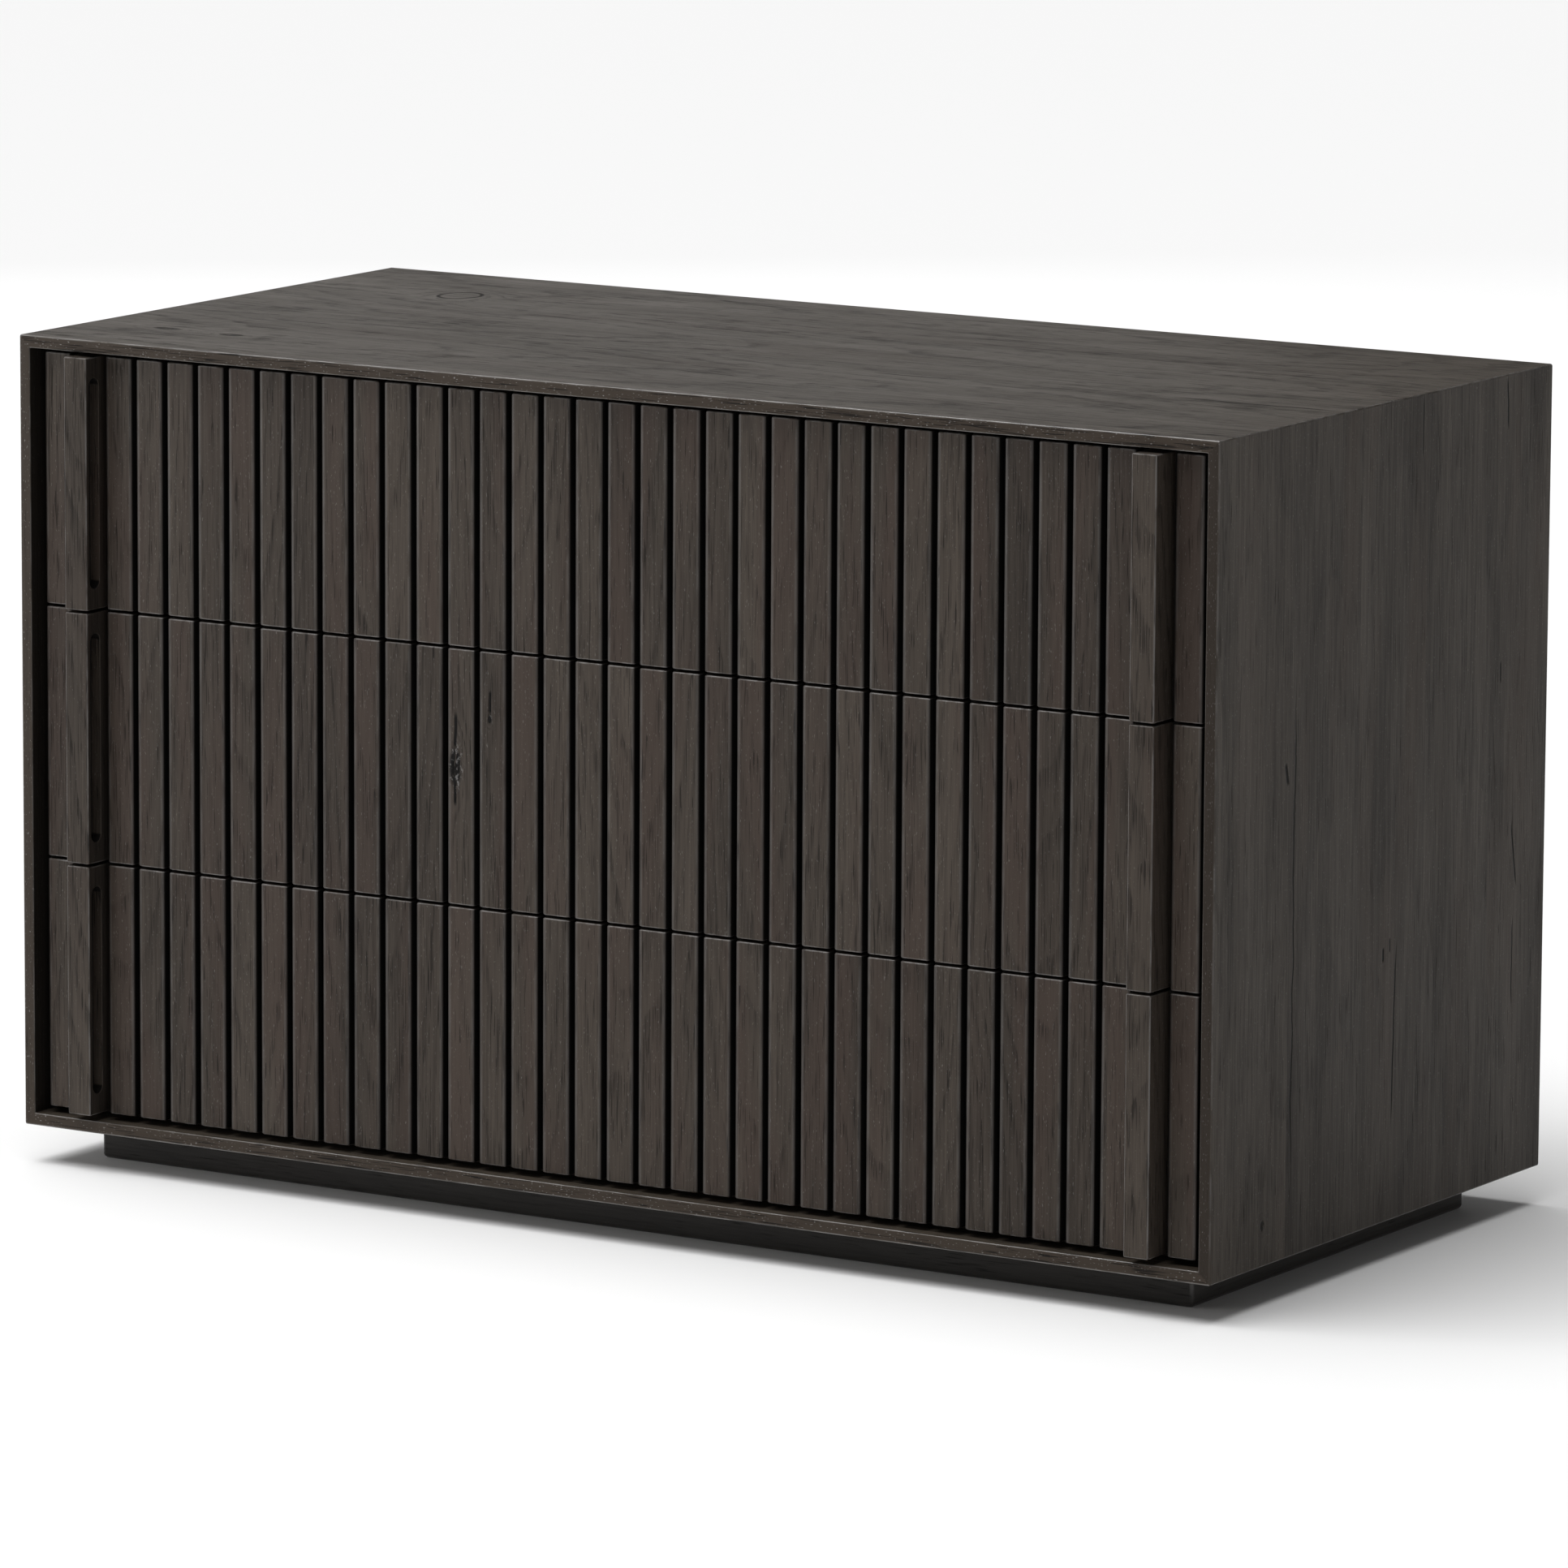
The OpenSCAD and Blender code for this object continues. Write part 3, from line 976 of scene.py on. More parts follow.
@dataclass
class Case:
    """The mitred case: four boards, a back panel and the rails between the drawers."""

    body: str = "case"
    corner: float = 1.3 * MM
    inner_corner: float = 0.8 * MM
    # Painted shade on the inner faces of the case's mouth.
    inner_painted_shade: float = 0.7
    reveal: float = 32 * MM
    # Painted shade on a board's front lip: the right board's lip is painted darker as the front grows darker
    # to the right.
    lip_painted_shade: dict[str, float] = field(default_factory=lambda: {"case_right_side": 0.35})
    faults: dict[str, tuple[Check | Knot, ...]] = field(default_factory=dict)

    def build(self) -> None:
        """Makes, dresses and ties every piece of the case."""
        outline, thickness, lip = self._outline()
        front = min(point[0] for point in outline)
        left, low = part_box("case_left_side")[0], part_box("case_bottom")[0]
        right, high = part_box("case_right_side")[1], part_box("case_top")[1]
        width, height = right.x - left.x, high.z - low.z
        middle = (high.z + low.z) / 2
        quarter = math.pi / 2
        places = {
            "case_top": (width, (0, 0, high.z), 0.0, TOP_OAK, Grain.X),
            "case_bottom": (width, (0, 0, low.z), 2 * quarter, TOP_OAK, Grain.X),
            "case_left_side": (height, (left.x, 0, middle), -quarter, SIDE_OAK, Grain.Z_SIDE),
            "case_right_side": (height, (right.x, 0, middle), quarter, SIDE_OAK, Grain.Z_SIDE),
        }
        near, far = front + self.inner_corner * 0.9, front + self.reveal
        for node, (span, spot, turn, oak, grain) in places.items():
            blank = Blank.mitred(outline, span / 2, thickness, self.corner)
            blank.mark(LIP, lambda spot: float(spot.y < front + NEAR))
            # Painted shade inside the mouth of the top and the sides; the bottom gets none.
            painted_shade = 0.0 if node == "case_bottom" else self.inner_painted_shade
            rim = self.lip_painted_shade.get(node, 0.0)

            def recess(spot: Vector) -> float:
                """Painted shade inside the case's mouth, and painted shade on the right board's lip."""
                inside = spot.z < NEAR - lip and near < spot.y < far
                return painted_shade * inside if spot.y > front + NEAR else rim

            blank.mark(RECESS, recess)
            blank.moved(Matrix.Translation(spot) @ Matrix.Rotation(turn, 4, "Y"))
            material = oak.material(grain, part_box(node), self.faults.get(node, ()))
            piece = dress(blank.object(f"{node}_board"), material)
            settle(piece, self.body, oak.slot, node)
        self._inside()

    def _outline(self) -> tuple[list[Corner], float, float]:
        """Reads the boards' section from the top board.

        Returns:
            The rounded section as (y, depth, arris), the boards' thickness and the thickness of their lips.
        """
        corners = section("case_top", 1, 2)
        top = corners[:, 1].max()
        front, rear = corners[:, 0].min(), corners[:, 0].max()
        thickness = top - corners[:, 1].min()
        at_front = corners[np.isclose(corners[:, 0], front)]
        at_rear = corners[np.isclose(corners[:, 0], rear)]
        core = corners[np.isclose(corners[:, 1], top - thickness)]
        lip, lap = top - at_front[:, 1].min(), top - at_rear[:, 1].min()
        shoulder, rabbet = core[:, 0].min(), core[:, 0].max()
        outline = rounded(
            [
                (front, 0.0, self.corner),
                (rear, 0.0, self.corner),
                (rear, lap, self.inner_corner),
                (rabbet, lap, 0.0),
                (rabbet, thickness, 0.0),
                (shoulder, thickness, self.inner_corner),
                (shoulder, lip, 0.0),
                (front, lip, self.inner_corner),
            ]
        )
        return outline, thickness, lip

    def _inside(self) -> None:
        """Makes the back panel and the rails."""
        for node, timber, grain in (
            ("case_back_panel", BACK_VENEER, Grain.Z_FRONT),
            ("lower_divider_rail", BLACK_BOARD, Grain.X_UPRIGHT),
            ("upper_divider_rail", BLACK_BOARD, Grain.X_UPRIGHT),
        ):
            ease_copy(node, f"{node}_board", self.inner_corner, timber, self.body, grain)


@dataclass
class Plinth:
    """The inset plinth: four mitred boards and the blocks in its corners."""

    body: str = "case"
    foot_radius: float = 3 * MM
    edge: float = 2.5 * MM

    def build(self) -> None:
        """Makes, dresses and ties the plinth's pieces."""
        front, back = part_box("plinth_front"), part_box("plinth_back")
        left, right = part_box("plinth_left"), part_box("plinth_right")
        height = front[1].z
        thickness = front[1].y - front[0].y
        foot, arch = (0.0, 0.0, self.foot_radius), (height, 0.0, 0.0)
        outline = rounded([foot, arch, (height, thickness, 0.0), (0.0, thickness, 0.0)])
        upright = Matrix(((1, 0, 0, 0), (0, 0, -1, 0), (0, 1, 0, 0), (0, 0, 0, 1)))
        middle = (front[0].y + back[1].y) / 2
        quarter = math.pi / 2
        places = {
            "plinth_front": (front[1].x, (0, front[0].y, 0), 0.0, Grain.X_UPRIGHT),
            "plinth_back": (back[1].x, (0, back[1].y, 0), math.pi, Grain.X_UPRIGHT),
            "plinth_left": (back[1].y - middle, (left[0].x, middle, 0), -quarter, Grain.Y),
            "plinth_right": (back[1].y - middle, (right[1].x, middle, 0), quarter, Grain.Y),
        }
        for node, (half, spot, turn, grain) in places.items():
            matrix = Matrix.Translation(spot) @ Matrix.Rotation(turn, 4, "Z") @ upright
            blank = Blank.mitred(outline, half, thickness, self.edge).moved(matrix)
            piece = dress(blank.object(f"{node}_board"), PLINTH_OAK.material(grain))
            settle(piece, self.body, PLINTH_OAK.slot, node)
        ease_copy("plinth_corner_blocks", "plinth_blocks", self.edge, PLINTH_OAK, self.body, Grain.X)


# ---------------------------------------------------------------- repeated parts


class Recipe(Graph):
    """A Geometry Nodes tree whose inputs have names."""

    def __init__(self, name: str, inputs: dict[str, str]) -> None:
        """Makes the tree.

        Args:
            name: the tree's name.
            inputs: each input's name and kind of socket, after the geometry itself.
        """
        super().__init__(bpy.data.node_groups.new(name, "GeometryNodeTree"))
        face = self.tree.interface
        face.new_socket("Geometry", in_out="INPUT", socket_type="NodeSocketGeometry")
        self.keys = {
            title: face.new_socket(title, in_out="INPUT", socket_type=f"NodeSocket{kind}").identifier
            for title, kind in inputs.items()
        }
        face.new_socket("Geometry", in_out="OUTPUT", socket_type="NodeSocketGeometry")
        self.given = self.node("NodeGroupInput").outputs

    def shape(self, title: str) -> Socket:
        """The mesh of the object that a named input gives."""
        settings = {"transform_space": "ORIGINAL"}
        return self.out("GeometryNodeObjectInfo", settings, {"Object": self.given[title]}, "Geometry")

    def end(self, instances: Socket) -> None:
        """Realizes the instances, gives them the Finish input's material and ends the tree."""
        real = self.out("GeometryNodeRealizeInstances", {}, {0: instances})
        finish = {"Geometry": real, "Material": self.given["Finish"]}
        self.node("NodeGroupOutput", {}, {0: self.out("GeometryNodeSetMaterial", {}, finish)})

    def make(self, base: bpy.types.Object, values: dict[str, object]) -> bpy.types.Object:
        """Runs the tree on an object and keeps the result as its plain mesh.

        Args:
            base: the object that the tree starts from.
            values: a value for each named input.

        Returns:
            The same object with its new mesh.
        """
        modifier = base.modifiers.new("recipe", "NODES")
        modifier.node_group = self.tree
        for title, value in values.items():
            modifier[self.keys[title]] = value
        base.update_tag()
        graph = bpy.context.evaluated_depsgraph_get()
        graph.update()
        result = bpy.data.meshes.new_from_object(
            base.evaluated_get(graph), preserve_all_data_layers=True, depsgraph=graph
        )
        base.modifiers.remove(modifier)
        old, base.data = base.data, result
        bpy.data.meshes.remove(old)
        keep_flats(base)
        return base


class SlatRow:
    """The row of upright slats that faces a drawer, with the handles' places left empty."""

    plank_share: float = 0.137

    def __init__(self) -> None:
        """Builds the Geometry Nodes tree once for all rows."""
        inputs = {
            "Slat": "Object",
            "Places": "Int",
            "Pitch": "Float",
            "First": "Vector",
            "Handle Place": "Int",
            "Seat Play": "Vector",
            "Twist": "Vector",
            "Seed": "Int",
            "Finish": "Material",
        }
        self.recipe = recipe = Recipe("slat_row", inputs)
        given, out = recipe.given, recipe.out
        step = out("ShaderNodeCombineXYZ", {}, {0: given["Pitch"]})
        run = {"Count": given["Places"], "Start Location": given["First"], "Offset": step}
        line = out("GeometryNodeMeshLine", {"mode": "OFFSET"}, run)
        index = out("GeometryNodeInputIndex", {}, {})
        place, hits = given["Handle Place"], []
        for whole, part in ((place, 1.0), (given["Places"], place)):
            handle = out("ShaderNodeMath", {"operation": "SUBTRACT"}, {0: whole, 1: part})
            equal = {"data_type": "INT", "operation": "EQUAL"}
            hits.append(out("FunctionNodeCompare", equal, {2: index, 3: handle}))
        either = out("FunctionNodeBooleanMath", {"operation": "OR"}, dict(enumerate(hits)))
        kept = out("GeometryNodeDeleteGeometry", {"domain": "POINT"}, {"Geometry": line, "Selection": either})
        play = self._spread("Seat Play", index)
        seated = out("GeometryNodeSetPosition", {}, {"Geometry": kept, "Offset": play})
        twist = self._spread("Twist", index)
        slats = {"Points": seated, "Instance": recipe.shape("Slat"), "Rotation": twist}
        marked = out("GeometryNodeInstanceOnPoints", {}, slats)
        draw = {"ID": index, "Seed": given["Seed"]}
        tint = out("FunctionNodeRandomValue", {"data_type": "FLOAT"}, draw, 1)
        plank = out("ShaderNodeMath", {"operation": "MULTIPLY"}, {0: given["Seed"], 1: self.plank_share})
        for name, value in ((PLANK, plank), (TINT, tint)):
            marked = out(
                "GeometryNodeStoreNamedAttribute",
                {"data_type": "FLOAT", "domain": "INSTANCE"},
                {"Geometry": marked, "Name": name, "Value": value},
            )
        recipe.end(marked)

    def _spread(self, title: str, index: Socket) -> Socket:
        """A random vector for each place.

        Args:
            title: the input whose vector it lies within, either way.
            index: the place's number.

        Returns:
            The vector's socket.
        """
        given, out = self.recipe.given, self.recipe.out
        least = out("ShaderNodeVectorMath", {"operation": "SCALE"}, {0: given[title], "Scale": -1.0})
        span = {0: least, 1: given[title], "ID": index, "Seed": given["Seed"]}
        return out("FunctionNodeRandomValue", {"data_type": "FLOAT_VECTOR"}, span)


class ScrewSet:
    """Screws set wherever the CAD has them: a head of the right shape and a shank of the right length."""

    sides: int = 24
    shank_sides: int = 12
    cross_arm: float = 1.9 * MM
    cross_half: float = 0.42 * MM
    cross_depth: float = 1.1 * MM
    cross_taper: float = 0.45

    def __init__(self) -> None:
        """Builds the Geometry Nodes tree and the screws' finish once for all sets."""
        heads = {"Sunk Head": "Object", "Pan Head": "Object", "Shank": "Object"}
        self.recipe = recipe = Recipe("screw_set", heads | {"Seed": "Int", "Finish": "Material"})
        given, out = recipe.given, recipe.out

        def stored(name: str, kind: str) -> Socket:
            """An attribute of the points."""
            return out("GeometryNodeInputNamedAttribute", {"data_type": kind}, {"Name": name})

        turn = out("FunctionNodeRandomValue", {"data_type": "FLOAT"}, {3: math.tau, "Seed": given["Seed"]}, 1)
        spin = out("FunctionNodeAxisAngleToRotation", {}, {"Axis": (0, 0, 1), "Angle": turn})
        axis = {"Vector": stored("axis", "FLOAT_VECTOR")}
        upright = out("FunctionNodeAlignRotationToVector", {"axis": "Z"}, axis)
        facing = {"Rotation": upright, "Rotate By": spin}
        pan = stored("pan", "BOOLEAN")
        place = {
            "Points": given["Geometry"],
            "Rotation": out("FunctionNodeRotateRotation", {"rotation_space": "LOCAL"}, facing),
        }
        stretch = out("ShaderNodeCombineXYZ", {}, {0: 1.0, 1: 1.0, 2: stored("length", "FLOAT")})
        joined = recipe.node("GeometryNodeJoinGeometry")
        for title, choice in {
            "Sunk Head": {"Selection": out("FunctionNodeBooleanMath", {"operation": "NOT"}, {0: pan})},
            "Pan Head": {"Selection": pan},
            "Shank": {"Scale": stretch},
        }.items():
            screws = place | choice | {"Instance": recipe.shape(title)}
            recipe.feed(joined.inputs[0], out("GeometryNodeInstanceOnPoints", {}, screws))
        recipe.end(joined.outputs[0])
        self.finish = SCREW_STEEL.material()

    def build(self, node: str, body: str, seed: int) -> None:
        """Makes the screws of one CAD node.

        Args:
            node: the CAD node with the plain screws.
            body: the body that they ride on.
            seed: seed of the turns that they were driven to.
        """
        heads = [self._read(island) for island in self._islands(node)]
        data = bpy.data.meshes.new(f"{node}_set")
        data.from_pydata([tuple(head[0]) for head in heads], [], [])
        for name, kind, key, values in (
            ("axis", "FLOAT_VECTOR", "vector", [number for head in heads for number in head[1]]),
            ("pan", "BOOLEAN", "value", [head[2] for head in heads]),
            ("length", "FLOAT", "value", [head[3] for head in heads]),
        ):
            data.attributes.new(name, kind, "POINT").data.foreach_set(key, values)
        base = add_object(f"{node}_set", data)
        radius, shank = heads[0][4]
        shapes = {
            "Sunk Head": self._head(HeadShape.SUNK, radius, shank),
            "Pan Head": self._head(HeadShape.PAN, radius, shank),
            "Shank": self._shank(shank),
        }
        piece = self.recipe.make(base, shapes | {"Seed": seed, "Finish": self.finish})
        for shape in shapes.values():
            bpy.data.objects.remove(shape)
        settle(piece, body, SCREW_STEEL.slot, node)

    @staticmethod
    def _islands(node: str) -> list[np.ndarray]:
        """Separates the solids of a CAD node.

        Args:
            node: the CAD node.

        Returns:
            Each solid's vertices, in order of their middles.
        """
        blank = bmesh.new()
        blank.from_mesh(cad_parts[node].data)
        bmesh.ops.remove_doubles(blank, verts=blank.verts, dist=MERGED)
        left, found = set(blank.verts), []
        while left:
            queue, island = [left.pop()], []
            while queue:
                vertex = queue.pop()
                island.append(vertex.co[:])
                for edge in vertex.link_edges:
                    other = edge.other_vert(vertex)
                    if other in left:
                        left.remove(other)
                        queue.append(other)
            found.append(np.array(island))
        blank.free()
        return sorted(found, key=lambda points: tuple(points.mean(0).round(5)))

    @staticmethod
    def _read(points: np.ndarray) -> tuple[Vector, Vector, bool, float, tuple[float, float]]:
        """Reads one plain screw.

        Args:
            points: its vertices.

        Returns:
            The middle of its head's face, the way its head faces, whether the head is a pan head, its
            length under the head's face, and its head and shank radii.
        """
        low, high = points.min(0), points.max(0)
        long = int(np.argmax(high - low))
        centre = (low + high) / 2
        flat = points - centre
        flat[:, long] = 0
        radii = np.linalg.norm(flat, axis=1)
        wide = points[radii > radii.max() * 0.9]
        sign = 1.0 if wide[:, long].mean() > centre[long] else -1.0
        face = high[long] if sign > 0 else low[long]
        direction = Vector((0, 0, 0))
        direction[long] = sign
        spot = Vector(centre)
        spot[long] = face
        is_pan = bool(np.ptp(wide[:, long]) > 0.5 * MM)
        radius = (float(radii.max()), float(radii.min()))
        return spot, direction, is_pan, float(high[long] - low[long]), radius

    def _head(self, shape: HeadShape, radius: float, shank: float) -> bpy.types.Object:
        """Turns a head with a cross recess, its face at the origin, facing +Z.

        Args:
            shape: sunk or pan.
            radius: the head's radius.
            shank: the shank's radius.

        Returns:
            The head's object.
        """
        if shape is HeadShape.PAN:
            crown = [(radius * 0.62, 0.0), (radius * 0.86, -0.3 * MM)]
            profile = [*crown, (radius, -0.9 * MM), (radius, -1.6 * MM)]
        else:
            profile = [(radius * 0.97, 0.0), (radius, -0.12 * MM), (shank, -2.0 * MM)]
        blank = Blank()
        rings = blank.turn(profile, self.sides)
        blank.cap(rings[-1])
        arm, half = self.cross_arm, self.cross_half
        cross = []
        for turn in range(4):
            c, s = round(math.cos(turn * math.pi / 2)), round(math.sin(turn * math.pi / 2))
            cross += [(c * x - s * y, s * x + c * y) for x, y in ((arm, half), (half, half), (half, arm))]
        rim = [blank.mesh.verts.new((x, y, 0.0)) for x, y in cross]
        taper, depth = self.cross_taper, self.cross_depth
        pit = [blank.mesh.verts.new((x * taper, y * taper, -depth)) for x, y in cross]
        blank.loft([rim, pit])
        blank.cap(pit)
        edges = [
            blank.mesh.edges.get((ring[n], ring[(n + 1) % len(ring)]))
            for ring in (rim, rings[0])
            for n in range(len(ring))
        ]
        bmesh.ops.triangle_fill(blank.mesh, edges=edges, use_beauty=True, normal=(0, 0, 1))
        return blank.outward().object(f"head_{shape.name.lower()}")

    def _shank(self, radius: float) -> bpy.types.Object:
        """Turns a shank one metre long, tapered at its tip, down from the origin.

        Args:
            radius: its radius.

        Returns:
            The shank's object.
        """
        blank = Blank()
        profile = [(radius * 0.9, -0.001), (radius, -0.12), (radius, -0.85), (radius * 0.15, -1.0)]
        rings = blank.turn(profile, self.shank_sides)
        blank.cap(rings[0], rings[-1])
        return blank.outward().object("shank")


# ---------------------------------------------------------------- drawers


@dataclass
class Drawer:
    """One drawer: its slatted front with two bar handles, its box and its slide members."""

    row: str
    slats: SlatRow
    screws: ScrewSet
    timber: Timber = SLAT_OAK
    faults: tuple[Check | Knot, ...] = ()
    slat_edge: float = 3.0 * MM
    slat_drop: float = 1.0 * MM
    slat_gleam: float = 0.25
    slat_steps: int = 4
    slat_end: float = 1.1 * MM
    slat_play: float = 0.1 * MM
    slat_twist: float = math.radians(0.25)
    # How quickly the painted shade of the grooves fades across each slat's rounding.
    shade_reach: float = 2.2
    handle_edge: float = 1.1 * MM
    groove_edge: float = 0.5 * MM
    # Painted shade on the handle's inner face and in its finger groove.
    inner_painted_shade: float = 0.45
    groove_painted_shade: float = 0.95
    board_edge: float = 0.8 * MM
    steel_edge: float = 0.3 * MM
    groove_steps: int = 14

    @property
    def body(self) -> str:
        """The CAD body that the drawer's pieces ride on."""
        return f"{self.row}_drawer"

    def build(self) -> None:
        """Makes, dresses and ties every piece of the drawer."""
        self._front()
        self._handles()
        self._box()
        self._slides()
        self.screws.build(f"{self.body}_screws", self.body, 11 + ROWS.index(self.row))

    def _front(self) -> None:
        """Makes the backing panel and the slats."""
        node = f"{self.body}_backing_panel"
        ease_copy(node, f"{self.body}_backing", self.board_edge, BLACK_BOARD, self.body, Grain.X_UPRIGHT)

        node = f"{self.body}_slats"
        low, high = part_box(node)
        starts = np.unique(section(node, 0, 2)[:, 0])
        width = starts[1] - starts[0]
        widths = np.diff(starts)
        pitch = width + widths[widths < width * 0.9].min()
        places = round((high.x - low.x + pitch - width) / pitch)
        handle_low, handle_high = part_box(f"{self.body}_left_handle")
        handle_place = round(((handle_low.x + handle_high.x) / 2 - low.x - width / 2) / pitch) + 1

        slat = self._slat(Vector((width, high.y - low.y, high.z - low.z))).object("slat")
        material = self.timber.material(Grain.Z_FRONT, (low, high), self.faults)
        base = add_object(f"{self.body}_slat_row", bpy.data.meshes.new(f"{self.body}_slat_row"))
        first = (low.x + width / 2, (low.y + high.y) / 2, (low.z + high.z) / 2)
        values = {
            "Slat": slat,
            "Places": places,
            "Pitch": float(pitch),
            "First": first,
            "Handle Place": handle_place,
            "Seat Play": (0.0, self.slat_play, 0.0),
            "Twist": (0.0, 0.0, self.slat_twist),
            "Seed": 3 + 7 * ROWS.index(self.row),
            "Finish": material,
        }
        piece = self.slats.recipe.make(base, values)
        bpy.data.objects.remove(slat)
        settle(piece, self.body, self.timber.slot, node)

    def _slat(self, size: Vector) -> Blank:
        """Shapes one slat around the origin, its front pillowed at the long edges and rounded at the ends.

        Args:
            size: its width, thickness and height.

        Returns:
            The blank, marked with the painted shade that reaches out of the grooves.
        """
        half, front, back = size.x / 2, -size.y / 2, size.y / 2
        turns = [math.pi / 2 * step / self.slat_steps for step in range(self.slat_steps + 1)]
        pillow = [
            (half - self.slat_edge * (1 - math.sin(turn)), front + self.slat_drop * (1 - math.cos(turn)))
            for turn in turns
        ]
        outline = [*pillow, (half, back), (-half, back), *((-x, y) for x, y in reversed(pillow))]
        blank, rings = Blank(), []
        for end, turn in [(-1, turn) for turn in reversed(turns)] + [(1, turn) for turn in turns]:
            inset = self.slat_end * (1 - math.cos(turn))
            z = end * (size.z / 2 - self.slat_end * (1 - math.sin(turn)))
            ring = []
            for x, y in outline:
                spot = (x * (1 - inset / half), y + inset * (back - y) / size.y, z)
                vertex = blank.mesh.verts.new(spot)
                share = (y - front) / self.slat_drop
                # A thin strip beside each long rounding is marked as an arris and lightened as a painted
                # highlight.
                gleam = self.slat_gleam if 0.02 < share < 0.4 else 0.0
                vertex[blank.arris] = max(gleam, math.sin(2 * turn) if share <= 1.01 else 0.0)
                ring.append(vertex)
            rings.append(ring)
        blank.loft(rings)
        blank.cap(rings[0], rings[-1])

        def painted_shade(spot: Vector) -> float:
            """Painted shade that runs from the groove onto the rounding."""
            off = (half - abs(spot.x)) / self.slat_edge
            return min(1.0, max(0.0, 1 - off)) ** self.shade_reach

        return blank.outward().mark(RECESS, painted_shade)

    def _handles(self) -> None:
        """Makes the two bar handles, each with its finger groove."""
        for side in ("left", "right"):
            node = f"{self.body}_{side}_handle"
            piece = dress(self._handle(node, side), HANDLE_OAK.material(Grain.Z_FRONT))
            settle(piece, self.body, HANDLE_OAK.slot, node)

    def _handle(self, node: str, side: str) -> bpy.types.Object:
        """Shapes one handle around the groove that the CAD gives it.

        Args:
            node: the handle's CAD node.
            side: left or right.

        Returns:
            The handle's object.
        """
        low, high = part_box(node)
        points = np.array([vertex.co[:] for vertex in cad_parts[node].data.vertices])
        inner, outer = (high.x, low.x) if side == "left" else (low.x, high.x)
        on_face = np.isclose(points[:, 0], inner, atol=EXACT)
        inside = (points[:, 1] > low.y + NEAR) & (points[:, 1] < high.y - NEAR)
        rim = points[on_face & inside & (points[:, 2] > low.z + MM) & (points[:, 2] < high.z - MM)]
        front, rear = rim[:, 1].min(), rim[:, 1].max()
        radius, middle = (rear - front) / 2, (front + rear) / 2
        ends = (rim[:, 2].min() + radius, rim[:, 2].max() - radius)
        cut = (points[:, 1] > front - NEAR) & (points[:, 1] < rear + NEAR) & ~on_face & inside
        depth = min(abs(points[cut][:, 0] - inner))
        floor_x = inner + (depth if outer > inner else -depth)

        blank = Blank()

        def half_turn(x: float, z: float, start: float) -> Ring:
            """Adds the points of a half circle of the groove.

            Args:
                x: the plane that it lies in.
                z: height of its centre.
                start: the angle of its first point; the last one is opposite.

            Returns:
                The points in order.
            """
            angles = [start + math.pi * n / self.groove_steps for n in range(self.groove_steps + 1)]
            return [
                blank.mesh.verts.new((x, middle + radius * math.cos(angle), z + radius * math.sin(angle)))
                for angle in angles
            ]

        xs, ys, zs = (inner, outer), (low.y, high.y), (low.z, high.z)
        corners = {spot: blank.mesh.verts.new(spot) for spot in product(xs, ys, zs)}
        top, foot = (blank.mesh.verts.new((inner, middle, z)) for z in (high.z, low.z))
        mouth = half_turn(inner, ends[1], 0.0) + half_turn(inner, ends[0], math.pi)
        floor = half_turn(floor_x, ends[1], 0.0) + half_turn(floor_x, ends[0], math.pi)
        crown = self.groove_steps // 2
        heel = crown + self.groove_steps + 1
        down, back_up = mouth[crown : heel + 1], mouth[heel:] + mouth[: crown + 1]
        blank.cap([top, *down, foot, corners[inner, low.y, low.z], corners[inner, low.y, high.z]])
        blank.cap([foot, *back_up, top, corners[inner, high.y, high.z], corners[inner, high.y, low.z]])
        blank.loft([mouth, floor])
        square = ((0, 0), (1, 0), (1, 1), (0, 1))
        blank.cap(floor, [corners[outer, ys[a], zs[b]] for a, b in square])
        for y in ys:
            blank.cap([corners[xs[a], y, zs[b]] for a, b in square])
        for z, split in ((low.z, foot), (high.z, top)):
            first, *others = [corners[xs[a], ys[b], z] for a, b in square]
            blank.cap([first, split, *reversed(others)])
        blank.outward()

        def outside(edge: bmesh.types.BMEdge) -> bool:
            """Says whether to round an edge of the bar's outer box.

            Args:
                edge: an edge.

            Returns:
                True on the outer box, except round the back face.
            """
            spots = [vertex.co for vertex in edge.verts]
            flats = [
                all(abs(spot[axis] - value) < EXACT for spot in spots)
                for axis, value in ((0, inner), (0, outer), (1, low.y), (2, low.z), (2, high.z))
            ]
            return sum(flats) >= 2

        def at_mouth(edge: bmesh.types.BMEdge) -> bool:
            """Says whether an edge lies on the groove's mouth.

            Args:
                edge: an edge.

            Returns:
                True on the mouth.
            """
            return all(
                abs(spot.x - inner) < EXACT
                and front - MM < spot.y < rear + MM
                and low.z + 5 * MM < spot.z < high.z - 5 * MM
                for spot in (vertex.co for vertex in edge.verts)
            )

        def painted_shade(spot: Vector) -> float:
            """Gives the painted shade in the finger groove and on the face that it is cut into.

            Args:
                spot: a vertex's place.

            Returns:
                The painted shade, from 0 to 1.
            """
            off = abs(spot.x - inner)
            if 0.2 * MM < off < depth + NEAR and front < spot.y < rear:
                return self.groove_painted_shade
            return self.inner_painted_shade if off < NEAR else 0.0

        blank.ease(self.groove_edge, 2, at_mouth, 0.0, wear_and_highlight=False)
        blank.ease(self.handle_edge, 3, outside)
        blank.mark(RECESS, painted_shade)
        return blank.object(f"{self.body}_{side}_bar")

